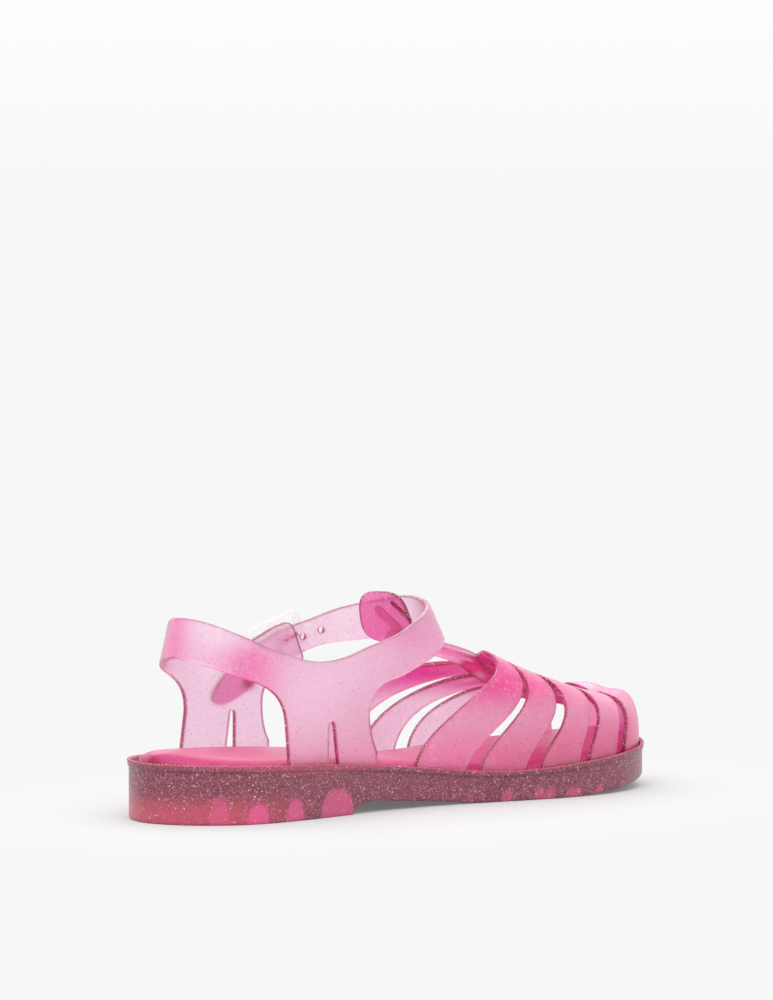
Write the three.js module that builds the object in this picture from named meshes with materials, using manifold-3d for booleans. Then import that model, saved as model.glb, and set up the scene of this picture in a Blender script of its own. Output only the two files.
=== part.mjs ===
// Jelly sandal, left shoe: a moulded openwork upper with a T-bar and an ankle strap, on a flat moulded sole.
// Millimetres, +Z up, toe towards +X, the outer (lateral) side of the foot towards +Y.
import * as THREE from 'three';
import { mergeVertices } from 'three/addons/utils/BufferGeometryUtils.js';
import Module from 'manifold-3d';

const wasm = await Module();
wasm.setup();

// Driving sizes of the shoe
const LENGTH = 250;          // outsole, heel to toe
const BALL_WIDTH = 95.2;     // outsole across the ball
const SOLE_HEIGHT = 22.2;    // ground to the rim of the sole at the heel
const TOE_SPRING = 7.5;      // rise of the tread under the toe tip
const ARCH_RISE = 4;         // rise of the tread just in front of the heel block
const INSTEP_HEIGHT = 80;    // ground to the top of the ankle strap over the instep
const COLLAR_LENGTH = 127;   // ankle ring, heel to instep, at mid height
const COLLAR_WIDTH = 57;     // ankle ring, side to side

// Walls, steps and clearances
const WALL = 2.2;            // upper
const CLEARANCE = 0.3;       // between two pieces that meet
const RIM_STEP = 0.5;        // how far the beaded rim stands out from the side of the sole
const RIM_BAND = 2.2;        // height of the beaded rim
const LIP = 1.3;             // width of the rim around the footbed
const RECESS = 4.4;          // depth of the bed inside the rim
const FLANGE_WIDTH = 8;      // foot of the upper, under the insole
const FLANGE_THICK = 1.6;
const INSOLE_RISE = 1.8;     // edge of the insole above the rim
const INSOLE_CROWN = 2.4;    // middle of the insole above its edge

// Strap, T-bar and buckle
const STRAP_LIFT = 3.0;      // outward step of the strap where it overlaps the outer quarter
const TAB_SLANT = -0.45;     // how far the cut end of the outer quarter leans, mm per mm up
const TAB_ROUND = 3.5;       // rounding of its corners
const TAIL_ROUND = 9;        // rounding of the tip of the strap
const TBAR_WIDTH = 13;
const TBAR_THICK = 2.8;
const TBAR_ARCH = 2.6;       // its middle above its edges
const HEAD_WIDTH = 24;       // widened end of the T-bar, along the strap
const HEAD_HEIGHT = 20.5;    // and across it
const HEAD_SINK = 0.25;      // how deep the head is fused into the strap
const BUCKLE_LENGTH = 25;
const BUCKLE_WIDTH = 19;
const BUCKLE_BAR = 2.9;
const BUCKLE_THICK = 2.4;
const BUCKLE_CORNER = 3;
const PRONG_WIDTH = 2.4;
const PRONG_THICK = 1.4;
const STUD_DIAMETER = 6.8;
const STUD_HEIGHT = 1.8;
const HOLE_DIAMETER = 2.4;

// Grid steps of the two pieces that are cut from a pattern
const ANKLE_STEP = 4.2;
const HEAD_STEP = 2.8;

// Underside pockets
const POCKET_WALL = 3.6;
const POCKET_DEPTH = 12;
const POCKET_HEIGHT = 10.8;
const POCKET_CAP = 0.6;      // rounded part of a pocket's height

// The sole's plan from heel to toe: half widths each side of the foot's line, and the height of the rim.
const SOLE_SECTIONS = [
  // x: share of LENGTH, medial and lateral: shares of BALL_WIDTH, rim: share of SOLE_HEIGHT
  { x: 0.000, medial: 0.000, lateral: 0.000, rim: 1.000 },
  { x: 0.016, medial: 0.143, lateral: 0.142, rim: 0.995 },
  { x: 0.048, medial: 0.250, lateral: 0.248, rim: 0.986 },
  { x: 0.100, medial: 0.335, lateral: 0.333, rim: 0.968 },
  { x: 0.168, medial: 0.361, lateral: 0.364, rim: 0.941 },
  { x: 0.240, medial: 0.354, lateral: 0.372, rim: 0.901 },
  { x: 0.320, medial: 0.342, lateral: 0.384, rim: 0.833 },
  { x: 0.400, medial: 0.335, lateral: 0.410, rim: 0.748 },
  { x: 0.480, medial: 0.345, lateral: 0.443, rim: 0.649 },
  { x: 0.560, medial: 0.380, lateral: 0.481, rim: 0.559 },
  { x: 0.620, medial: 0.421, lateral: 0.505, rim: 0.532 },
  { x: 0.680, medial: 0.461, lateral: 0.512, rim: 0.554 },
  { x: 0.728, medial: 0.482, lateral: 0.497, rim: 0.595 },
  { x: 0.780, medial: 0.488, lateral: 0.459, rim: 0.640 },
  { x: 0.832, medial: 0.474, lateral: 0.400, rim: 0.689 },
  { x: 0.880, medial: 0.435, lateral: 0.345, rim: 0.734 },
  { x: 0.920, medial: 0.378, lateral: 0.284, rim: 0.770 },
  { x: 0.952, medial: 0.307, lateral: 0.218, rim: 0.797 },
  { x: 0.976, medial: 0.226, lateral: 0.146, rim: 0.820 },
  { x: 0.992, medial: 0.148, lateral: 0.070, rim: 0.833 },
  { x: 1.000, medial: 0.053, lateral: -0.035, rim: 0.838 },
];

// The tread's line from heel to toe: flat heel, a rounded step up to the arch, flat ball, toe spring.
const TREAD_LINE = [
  // x: share of LENGTH, arch: share of ARCH_RISE, spring: share of TOE_SPRING
  { x: 0.000, arch: 0.00, spring: 0.00 },
  { x: 0.302, arch: 0.00, spring: 0.00 },
  { x: 0.306, arch: 0.42, spring: 0.00 },
  { x: 0.316, arch: 0.76, spring: 0.00 },
  { x: 0.334, arch: 1.00, spring: 0.00 },
  { x: 0.400, arch: 0.82, spring: 0.00 },
  { x: 0.500, arch: 0.34, spring: 0.00 },
  { x: 0.560, arch: 0.00, spring: 0.00 },
  { x: 0.680, arch: 0.00, spring: 0.00 },
  { x: 0.760, arch: 0.00, spring: 0.06 },
  { x: 0.840, arch: 0.00, spring: 0.25 },
  { x: 0.920, arch: 0.00, spring: 0.56 },
  { x: 1.000, arch: 0.00, spring: 1.00 },
];

const BALL_REAR_ROW = 7;       // row of TREAD_LINE where the ball's flat begins

// The last over the forefoot: height of its ridge, and how far the ridge lies towards the big toe.
const RIDGE = [
  // x: share of LENGTH, z: share of INSTEP_HEIGHT, medial: share of BALL_WIDTH
  { x: 0.40, z: 0.985, medial: 0.005 },
  { x: 0.48, z: 0.899, medial: 0.015 },
  { x: 0.60, z: 0.785, medial: 0.024 },
  { x: 0.70, z: 0.648, medial: 0.030 },
  { x: 0.78, z: 0.561, medial: 0.063 },
  { x: 0.85, z: 0.500, medial: 0.087 },
  { x: 0.91, z: 0.470, medial: 0.100 },
  { x: 0.96, z: 0.482, medial: 0.107 },
  { x: 1.00, z: 0.482, medial: 0.109 },
];
const SIDE_FULLNESS = 0.70;    // smaller is a boxier section, seen from the front
const TOP_FULLNESS = 0.62;
const TOE_START = 0.85;        // share of LENGTH where the toe begins to close
const TOE_FULLNESS = 6.6;      // larger is a blunter toe
const OUTER_CROWN = 4.35;      // how much the toe cap's outer half stands above the section, from CROWN_START on
const CROWN_START = 0.75;
const CROWN_RUN = 0.15;

// Edges of the vamp ribs. Each starts at the sole, x shares of LENGTH on both sides, and bends towards the ridge.
const RIB_EDGES = [
  // foot: at the sole, ridge: beside the spine, bend: how late it turns forward, each for the inner and outer side
  { foot: [0.442, 0.483], ridge: [0.637, 0.700], bend: [3.2, 2.3] },
  { foot: [0.538, 0.554], ridge: [0.661, 0.742], bend: [5.4, 3.0] },
  { foot: [0.564, 0.594], ridge: [0.670, 0.753], bend: [5.1, 3.2] },
  { foot: [0.642, 0.678], ridge: [0.716, 0.817], bend: [5.9, 2.2] },
  { foot: [0.669, 0.707], ridge: [0.733, 0.829], bend: [6.5, 2.1] },
  { foot: [0.743, 0.776], ridge: [0.797, 0.866], bend: [2.9, 2.0] },
  { foot: [0.765, 0.796], ridge: [0.808, 0.878], bend: [4.3, 1.9] },
  { foot: [0.830, 0.846], ridge: [0.897, 0.906], bend: [1.2, 3.4] },
  { foot: [0.858, 0.878], ridge: [0.909, 0.934], bend: [1.8, 3.6] },
];
const RIDGE_BLEND = 0.2;       // share of the half section over which the two sides' edges meet

// A shorter slit in the outer side of the toe cap, from the sole up to the share end.
const OUTER_SLIT = { rear: { foot: 0.943, ridge: 0.932 }, front: { foot: 0.965, ridge: 0.950 }, end: 0.4 };
const SPINE_SHARE = 0.06;      // half width of the uncut spine, as a share of the half section

// The ankle ring in plan at mid height, from the instep round by the inner side and the heel, and its lean.
const RING = [
  // x: share of COLLAR_LENGTH in front of the heel of the ring, y: share of COLLAR_WIDTH, leans: mm per mm up
  { x: 1.000, y: 0.035, leanX: -0.45, leanY: 0.00 },
  { x: 0.969, y: -0.237, leanX: -0.50, leanY: 0.10 },
  { x: 0.878, y: -0.386, leanX: -0.30, leanY: 0.20 },
  { x: 0.737, y: -0.442, leanX: -0.10, leanY: 0.12 },
  { x: 0.564, y: -0.474, leanX: 0.00, leanY: 0.085 },
  { x: 0.383, y: -0.491, leanX: 0.00, leanY: 0.085 },
  { x: 0.226, y: -0.477, leanX: 0.04, leanY: 0.095 },
  { x: 0.100, y: -0.404, leanX: 0.15, leanY: 0.08 },
  { x: 0.026, y: -0.246, leanX: 0.28, leanY: 0.08 },
  { x: 0.000, y: 0.000, leanX: 0.31, leanY: 0.00 },
  { x: 0.036, y: 0.225, leanX: 0.27, leanY: -0.02 },
  { x: 0.103, y: 0.383, leanX: 0.14, leanY: -0.17 },
  { x: 0.226, y: 0.491, leanX: 0.05, leanY: -0.10 },
  { x: 0.383, y: 0.518, leanX: 0.00, leanY: -0.095 },
  { x: 0.564, y: 0.518, leanX: 0.00, leanY: -0.125 },
  { x: 0.722, y: 0.474, leanX: -0.10, leanY: -0.18 },
  { x: 0.864, y: 0.412, leanX: -0.30, leanY: -0.20 },
  { x: 0.962, y: 0.254, leanX: -0.45, leanY: -0.10 },
];
const RING_BACK = 0.065;       // share of LENGTH from the heel of the sole to the heel of the ring
const RING_LEVEL = 0.825;      // share of INSTEP_HEIGHT at which RING is given
const HEEL_STATION = 9;        // row of RING at the middle of the heel

// Edges of the band along the ring, by arc from the middle of the heel: shares of the ring's own length,
// minus on the outer side. Past the instep the band goes on as the free strap, over the outer quarter.
const BAND = [
  // top, bottom: shares of INSTEP_HEIGHT
  { arc: -0.350, top: 0.890, bottom: 0.650 },
  { arc: -0.318, top: 0.885, bottom: 0.660 },
  { arc: -0.287, top: 0.860, bottom: 0.640 },
  { arc: -0.240, top: 0.782, bottom: 0.600 },
  { arc: -0.198, top: 0.731, bottom: 0.560 },
  { arc: -0.134, top: 0.788, bottom: 0.612 },
  { arc: -0.083, top: 0.870, bottom: 0.682 },
  { arc: -0.045, top: 0.925, bottom: 0.726 },
  { arc: 0.000, top: 0.943, bottom: 0.756 },
  { arc: 0.045, top: 0.920, bottom: 0.730 },
  { arc: 0.083, top: 0.870, bottom: 0.681 },
  { arc: 0.134, top: 0.788, bottom: 0.610 },
  { arc: 0.198, top: 0.730, bottom: 0.550 },
  { arc: 0.240, top: 0.742, bottom: 0.560 },
  { arc: 0.281, top: 0.782, bottom: 0.588 },
  { arc: 0.342, top: 0.840, bottom: 0.640 },
  { arc: 0.390, top: 0.908, bottom: 0.712 },
  { arc: 0.447, top: 0.965, bottom: 0.787 },
  { arc: 0.498, top: 0.996, bottom: 0.815 },
  { arc: 0.540, top: 0.988, bottom: 0.806 },
  { arc: 0.588, top: 0.950, bottom: 0.770 },
  { arc: 0.655, top: 0.876, bottom: 0.727 },
  { arc: 0.710, top: 0.815, bottom: 0.645 },
  { arc: 0.760, top: 0.716, bottom: 0.520 },
  { arc: 0.790, top: 0.627, bottom: 0.474 },
  { arc: 0.840, top: 0.500, bottom: 0.420 },
];
const TAB_END = -0.3195;       // end of the outer quarter, inside the buckle
const TAIL_END = 0.813;        // tip of the strap
const OVERLAP = { start: 0.56, end: 0.64 };   // where the strap steps outward

// The two legs of the quarters that come down to the sole: arcs as for BAND.
const LEGS = [
  { rear: 0.142, front: 0.2745, flare: 0.014, slit: 0.2115, slitTop: 0.445, rearFillet: 12, frontFillet: 13 },
  { rear: -0.142, front: -0.266, flare: 0.021, slit: -0.218, slitTop: 0.452, rearFillet: 13.5, frontFillet: 13 },
];
const LEG_EASE = 0.55;         // share of INSTEP_HEIGHT below which the legs ease onto the vamp's wall line
const FLARE_HEIGHT = 8;        // height over which a leg's forward flare at the sole dies out
const FLARE_FOOT = 23;         // height below which a leg flares no further
const SLIT_FOOT = 5.4;         // width of the slit at the sole
const SLIT_HEAD = 2.6;         // and under its rounded top

// The T-bar's line from under the vamp to the inside of the ankle strap.
const TBAR_LINE = [
  // x: share of LENGTH, y: share of BALL_WIDTH, z: share of INSTEP_HEIGHT
  { x: 0.860, y: -0.085, z: 0.457 },
  { x: 0.780, y: -0.065, z: 0.520 },
  { x: 0.720, y: -0.040, z: 0.592 },
  { x: 0.660, y: -0.022, z: 0.701 },
  { x: 0.612, y: 0.015, z: 0.752 },
  { x: 0.578, y: 0.070, z: 0.790 },
  { x: 0.560, y: 0.110, z: 0.835 },
];
const HEAD_ARC = 0.551;        // middle of the T-bar's head along the ring
const HEAD_LEVEL = 0.897;      // and its height, share of INSTEP_HEIGHT

// Buckle and stud on the outer side, placed along the ring
const BUCKLE_ARC = 0.703;
const BUCKLE_LEVEL = 0.759;
const BUCKLE_TILT = 0.337;     // radians, rear end down
const STUD_ARC = 0.743;
const STUD_LEVEL = 0.577;
const HOLE_ARCS = [0.642, 0.669];

// A smooth curve through rows: cubic pieces, each end slope a mean of the two chords weighted by the other's length.
function curveThrough(xs, ys) {
  const last = xs.length - 1;
  const chord = (i) => (ys[i + 1] - ys[i]) / (xs[i + 1] - xs[i]);
  const slopes = xs.map((x, i) => {
    if (i === 0) return chord(0);
    if (i === last) return chord(last - 1);
    const before = xs[i] - xs[i - 1];
    const after = xs[i + 1] - xs[i];
    return (chord(i - 1) * after + chord(i) * before) / (before + after);
  });
  return (x) => {
    let i = 0;
    while (i < last - 1 && x > xs[i + 1]) i += 1;
    const span = xs[i + 1] - xs[i];
    const t = (x - xs[i]) / span;
    const t2 = t * t;
    const t3 = t2 * t;
    return ys[i] * (2 * t3 - 3 * t2 + 1) + ys[i + 1] * (3 * t2 - 2 * t3)
      + span * (slopes[i] * (t3 - 2 * t2 + t) + slopes[i + 1] * (t3 - t2));
  };
}

function column(rows, name, unit) {
  return rows.map((row) => row[name] * unit);
}

function clamp(value, low, high) {
  return Math.min(Math.max(value, low), high);
}

function smoothStep(t) {
  const s = clamp(t, 0, 1);
  return s * s * (3 - 2 * s);
}

function range(count) {
  return Array.from({ length: count }, (_, i) => i);
}

// Closed solids from grids of points. A face is a list of point numbers, seen from outside anticlockwise.
function closedMesh(points, faces) {
  const canonical = new Map();
  const position = [];
  const idOf = points.map((p) => {
    const key = p.map((v) => Math.round(v * 1e4)).join(',');
    if (!canonical.has(key)) {
      canonical.set(key, position.length / 3);
      position.push(...p);
    }
    return canonical.get(key);
  });
  const triangles = [];
  for (const face of faces) {
    const ids = face.map((i) => idOf[i]).filter((id, i, all) => id !== all[(i + 1) % all.length]);
    for (let i = 1; i + 1 < ids.length; i += 1) {
      if (new Set([ids[0], ids[i], ids[i + 1]]).size === 3) triangles.push(ids[0], ids[i], ids[i + 1]);
    }
  }
  return new wasm.Manifold(new wasm.Mesh({
    numProp: 3,
    vertProperties: new Float32Array(position),
    triVerts: new Uint32Array(triangles),
  }));
}

function geometrySolid(geometry) {
  geometry.deleteAttribute('normal');
  geometry.deleteAttribute('uv');
  const merged = mergeVertices(geometry, 1e-4);
  return new wasm.Manifold(new wasm.Mesh({
    numProp: 3,
    vertProperties: merged.attributes.position.array,
    triVerts: Uint32Array.from(merged.index.array),
  }));
}

// A skin of quads thickened inwards by the wall, its open edges closed by side faces.
function thickened(points, faces, wall) {
  const keys = points.map((p) => p.map((v) => Math.round(v * 1e4)).join(','));
  const normals = new Map(keys.map((key) => [key, new THREE.Vector3()]));
  for (const face of faces) {
    const [a, b, c, d] = [0, 1, 2, face.length - 1].map((i) => new THREE.Vector3(...points[face[i]]));
    const normal = c.clone().sub(a).cross(d.clone().sub(b));
    if (face.length === 3) normal.copy(b.clone().sub(a).cross(c.clone().sub(a)));
    for (const i of face) normals.get(keys[i]).add(normal);
  }
  const inner = points.map((p, i) => {
    const n = normals.get(keys[i]);
    return n.lengthSq() > 0 ? new THREE.Vector3(...p).addScaledVector(n.normalize(), -wall).toArray() : p;
  });
  const count = points.length;
  const edges = new Map();
  for (const face of faces) {
    face.forEach((a, i) => {
      const b = face[(i + 1) % face.length];
      if (keys[a] === keys[b]) return;
      const back = `${keys[b]}|${keys[a]}`;
      if (edges.has(back)) edges.delete(back);
      else edges.set(`${keys[a]}|${keys[b]}`, [a, b]);
    });
  }
  const sides = [...edges.values()].map(([a, b]) => [b, a, a + count, b + count]);
  const under = faces.map((face) => face.map((i) => i + count).reverse());
  return closedMesh([...points, ...inner], [...faces, ...under, ...sides]);
}

// A tube closed on itself in both directions, from loops of equal length.
function ringSolid(loops) {
  const size = loops[0].length;
  const faces = [];
  loops.forEach((loop, k) => {
    const next = (k + 1) % loops.length;
    for (const i of range(size)) {
      const j = (i + 1) % size;
      faces.push([k * size + i, k * size + j, next * size + j, next * size + i]);
    }
  });
  return closedMesh(loops.flat(), faces);
}

// The sole's outline, set in by a distance: half widths at any x between its own heel and toe.
const medialHalf = column(SOLE_SECTIONS, 'medial', BALL_WIDTH);
const lateralHalf = column(SOLE_SECTIONS, 'lateral', BALL_WIDTH);
const soleX = column(SOLE_SECTIONS, 'x', LENGTH);
const rimHeight = curveThrough(soleX, column(SOLE_SECTIONS, 'rim', SOLE_HEIGHT));

function outlineLoop() {
  const rows = soleX.length;
  const corner = [];
  for (const i of range(rows)) corner.push([soleX[i], -medialHalf[i]]);
  for (const i of range(rows - 2)) corner.push([soleX[rows - 2 - i], lateralHalf[rows - 2 - i]]);
  const wrapped = [...corner.slice(-3), ...corner, ...corner.slice(0, 3)];
  const along = [0];
  for (const i of range(wrapped.length - 1)) {
    along.push(along[i] + Math.hypot(wrapped[i + 1][0] - wrapped[i][0], wrapped[i + 1][1] - wrapped[i][1]));
  }
  const curveX = curveThrough(along, wrapped.map((p) => p[0]));
  const curveY = curveThrough(along, wrapped.map((p) => p[1]));
  const start = along[3];
  const end = along[3 + corner.length];
  const steps = 400;
  return range(steps).map((i) => {
    const t = start + (end - start) * (i / steps);
    return [curveX(t), curveY(t)];
  });
}

const outline = outlineLoop();

function outlineSetIn(distance) {
  const count = outline.length;
  const loop = outline.map((p, i) => {
    const before = outline[(i + count - 1) % count];
    const after = outline[(i + 1) % count];
    const dx = after[0] - before[0];
    const dy = after[1] - before[1];
    const size = Math.hypot(dx, dy);
    return [p[0] - (dy / size) * distance, p[1] + (dx / size) * distance];
  });
  const heel = loop.reduce((best, p, i) => (p[0] < loop[best][0] ? i : best), 0);
  const turned = range(count + 1).map((i) => loop[(heel + i) % count]);
  const toe = turned.reduce((best, p, i) => (p[0] > turned[best][0] ? i : best), 0);
  const medialSide = turned.slice(0, toe + 1);
  const lateralSide = turned.slice(toe).reverse();
  const lookUp = (side) => (x) => {
    let i = 0;
    while (i < side.length - 2 && side[i + 1][0] < x) i += 1;
    const [x0, y0] = side[i];
    const [x1, y1] = side[i + 1];
    const t = x1 === x0 ? 0 : clamp((x - x0) / (x1 - x0), 0, 1);
    return y0 + (y1 - y0) * t;
  };
  return {
    heel: turned[0][0],
    toe: turned[toe][0],
    medial: lookUp(medialSide),
    lateral: lookUp(lateralSide),
  };
}

// A slab over the sole's plan, set in by a distance, between two heights given as functions of x and the
// share across, from -1 at the medial edge to 1 at the lateral edge.
function slab(setIn, bottom, top, extraStations = [], steps = 34, across = 4) {
  const plan = outlineSetIn(setIn);
  const span = plan.toe - plan.heel;
  const stations = range(steps + 1).map((i) => plan.heel + (span * (1 - Math.cos((Math.PI * i) / steps))) / 2);
  for (const x of extraStations) {
    if (stations.every((other) => Math.abs(other - x) > 1)) stations.push(x);
  }
  stations.sort((a, b) => a - b);
  const points = [];
  for (const height of [bottom, top]) {
    for (const x of stations) {
      const low = plan.medial(x);
      const high = plan.lateral(x);
      for (const j of range(across + 1)) {
        const share = (2 * j) / across - 1;
        points.push([x, low + ((high - low) * j) / across, height(x, share)]);
      }
    }
  }
  const row = across + 1;
  const layer = stations.length * row;
  const faces = [];
  for (const i of range(stations.length - 1)) {
    for (const j of range(across)) {
      const a = i * row + j;
      faces.push([a, a + 1, a + row + 1, a + row]);
      faces.push([layer + a, layer + a + row, layer + a + row + 1, layer + a + 1]);
    }
    const m = i * row;
    const l = m + across;
    faces.push([m, m + row, layer + m + row, layer + m]);
    faces.push([l, layer + l, layer + l + row, l + row]);
  }
  return closedMesh(points, faces);
}

// Outsole: body, a beaded rim that stands out a little, the bed inside the rim and the pockets underneath.
const treadX = column(TREAD_LINE, 'x', LENGTH);
const archCurve = curveThrough(treadX, column(TREAD_LINE, 'arch', ARCH_RISE));
const springCurve = curveThrough(treadX, column(TREAD_LINE, 'spring', TOE_SPRING));

// The heel block and the ball are flat on the ground, also where the curve through the rows would dip or swell.
function treadHeight(x) {
  const t = clamp(x, 0, LENGTH);
  const heelFlat = t <= treadX[1];
  const ballFlat = t >= treadX[BALL_REAR_ROW] && t <= treadX[BALL_REAR_ROW + 1];
  return heelFlat || ballFlat ? 0 : Math.max(archCurve(t) + springCurve(t), 0);
}

// Hollows under the sole, behind its side wall: they show as lighter patches through the plastic.
const POCKETS = [
  // x: share of LENGTH of the middle, width: share of LENGTH, height: share of POCKET_HEIGHT
  { x: 0.060, width: 0.022, height: 1.00 },
  { x: 0.113, width: 0.034, height: 0.68 },
  { x: 0.180, width: 0.034, height: 0.78 },
  { x: 0.2665, width: 0.068, height: 0.96 },
  { x: 0.605, width: 0.021, height: 0.40 },
  { x: 0.670, width: 0.041, height: 0.42 },
  { x: 0.725, width: 0.032, height: 0.37 },
  { x: 0.780, width: 0.016, height: 0.33 },
  { x: 0.840, width: 0.015, height: 0.28 },
];

function pocketSolid(pocket, side) {
  const plan = outlineSetIn(POCKET_WALL);
  const x = pocket.x * LENGTH;
  const half = (pocket.width * LENGTH) / 2;
  const height = pocket.height * POCKET_HEIGHT;
  const edge = side < 0 ? plan.medial : plan.lateral;
  const cap = Math.min(half, height * POCKET_CAP);
  const arch = new THREE.Shape();
  arch.moveTo(-half, -1);
  arch.lineTo(half, -1);
  arch.lineTo(half, height - cap);
  arch.absellipse(0, height - cap, half, cap, 0, Math.PI, false);
  arch.lineTo(-half, -1);
  const depth = POCKET_DEPTH;
  const solid = new THREE.ExtrudeGeometry(arch, { depth, bevelEnabled: false, curveSegments: 5 });
  solid.rotateX(Math.PI / 2);
  const turn = Math.atan2(edge(x + half) - edge(x - half), 2 * half);
  if (side < 0) solid.translate(0, depth, 0);
  solid.rotateZ(turn);
  const reach = side < 0 ? Math.max(edge(x - half), edge(x + half)) : Math.min(edge(x - half), edge(x + half));
  solid.translate(x, reach, treadHeight(x));
  return geometrySolid(solid);
}

function outsoleSolid() {
  const breast = [0.302, 0.306, 0.316, 0.334, 0.56, 0.62].map((share) => share * LENGTH);
  const under = (x) => treadHeight(x);
  const body = slab(RIM_STEP, under, (x) => rimHeight(x) - RIM_BAND / 2, breast);
  const rim = slab(0, (x) => rimHeight(x) - RIM_BAND, (x) => rimHeight(x));
  const bed = slab(LIP, (x) => rimHeight(x) - RECESS, (x) => rimHeight(x) + RIM_BAND, [], 32, 2);
  let sole = body.add(rim).subtract(bed);
  for (const pocket of POCKETS) {
    for (const side of [-1, 1]) sole = sole.subtract(pocketSolid(pocket, side));
  }
  return sole;
}

// Insole: a crowned footbed that rests on the upper's flange.
const flangeFoot = (x) => rimHeight(x) - RECESS + CLEARANCE;
const insoleFoot = (x) => flangeFoot(x) + FLANGE_THICK + CLEARANCE;

function insoleSolid() {
  const crown = (share) => INSOLE_CROWN * (1 - share ** 2);
  const setIn = LIP + CLEARANCE * 1.5 + WALL + CLEARANCE;
  return slab(setIn, insoleFoot, (x, share) => rimHeight(x) + INSOLE_RISE + crown(share), [], 32, 6);
}

// Upper, forefoot: the last's surface over the vamp. The share s runs across it, -1 at the medial edge of the
// sole, 0 on the ridge, 1 at the lateral edge; beyond that it goes straight down to the flange.
const wallPlan = outlineSetIn(LIP + CLEARANCE * 1.5);
const ridgeX = column(RIDGE, 'x', LENGTH);
const ridgeHeight = curveThrough(ridgeX, column(RIDGE, 'z', INSTEP_HEIGHT));
const ridgeOffset = curveThrough(ridgeX, column(RIDGE, 'medial', -BALL_WIDTH));

function toeClosing(x) {
  const start = TOE_START * LENGTH;
  const share = clamp((x - start) / (wallPlan.toe - start), 0, 1);
  return (1 - share ** TOE_FULLNESS) ** (1 / TOE_FULLNESS);
}

function vampPoint(x, s) {
  const medial = wallPlan.medial(x);
  const lateral = wallPlan.lateral(x);
  const span = lateral - medial;
  const ridge = clamp(ridgeOffset(x), medial + 0.35 * span, medial + 0.65 * span);
  const angle = (1 - Math.min(Math.abs(s), 1)) * (Math.PI / 2);
  const reach = Math.cos(angle) ** SIDE_FULLNESS;
  const y = s < 0 ? ridge - (ridge - medial) * reach : ridge + (lateral - ridge) * reach;
  const closing = toeClosing(x);
  const rise = (ridgeHeight(x) - rimHeight(x)) * closing;
  const skirt = Math.abs(s) > 1 ? RECESS - CLEARANCE * 2 : 0;
  const crown = OUTER_CROWN * smoothStep((x / LENGTH - CROWN_START) / CROWN_RUN) * closing
    * Math.sin(Math.PI * clamp(s, 0, 1)) ** 1.5;
  return [x, y, rimHeight(x) + rise * Math.sin(angle) ** TOP_FULLNESS + crown - skirt];
}

// The x of a rib edge at share s: from the sole it leans forward until it meets the spine.
function ribEdge(edge, s) {
  const side = s < 0 ? 0 : 1;
  const bent = 1 - Math.min(Math.abs(s), 1) ** edge.bend[side];
  const across = smoothStep((s + RIDGE_BLEND) / (2 * RIDGE_BLEND));
  const ridge = edge.ridge[0] + (edge.ridge[1] - edge.ridge[0]) * across;
  return (edge.foot[side] + (ridge - edge.foot[side]) * bent) * LENGTH;
}

function slitEdge(edge, s) {
  return (edge.ridge + (edge.foot - edge.ridge) * Math.min(Math.abs(s), 1) ** 2) * LENGTH;
}

function vampColumns() {
  const half = [1.08, 1, 0.965, 0.92, 0.85, 0.76, 0.66, 0.55, 0.43, 0.3, 0.17, SPINE_SHARE];
  return [...half.map((s) => -s), 0, ...half.reverse()];
}

function vampSolid() {
  const columns = vampColumns();
  const rows = [];
  RIB_EDGES.forEach((edge, i) => {
    rows.push({ cut: false, at: (s) => ribEdge(edge, s) });
    const next = RIB_EDGES[i + 1];
    const isRib = i % 2 === 0;
    if (!next) return;
    rows[rows.length - 1].cut = !isRib;
    if (isRib) rows.push({ cut: false, at: (s) => (ribEdge(edge, s) + ribEdge(next, s)) / 2 });
  });
  const last = RIB_EDGES[RIB_EDGES.length - 1];
  for (const share of [0.28, 0.54, 0.78]) {
    rows.push({ cut: false, at: (s) => ribEdge(last, s) * (1 - share) + slitEdge(OUTER_SLIT.rear, s) * share });
  }
  rows.push({ cut: false, slit: true, at: (s) => slitEdge(OUTER_SLIT.rear, s) });
  rows.push({ cut: false, at: (s) => slitEdge(OUTER_SLIT.front, s) });
  const toeSteps = 6;
  const bias = 1.35;
  for (const i of range(toeSteps)) {
    const angle = (Math.PI / 2) * ((i + 1) / toeSteps);
    rows.push({
      cut: false,
      at: (s) => {
        const from = slitEdge(OUTER_SLIT.front, s);
        return from + (wallPlan.toe - from) * Math.sin(angle) ** bias;
      },
    });
  }
  const points = rows.flatMap((row) => columns.map((s) => vampPoint(row.at(s), s)));
  const width = columns.length;
  const faces = [];
  rows.slice(0, -1).forEach((row, i) => {
    for (const j of range(width - 1)) {
      const middle = Math.abs(columns[j] + columns[j + 1]) / 2;
      if (row.cut && middle > SPINE_SHARE) continue;
      if (row.slit && (columns[j] + columns[j + 1]) / 2 > OUTER_SLIT.end) continue;
      const a = i * width + j;
      faces.push([a, a + width, a + width + 1, a + 1]);
    }
  });
  return thickened(points, faces, WALL);
}

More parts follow.
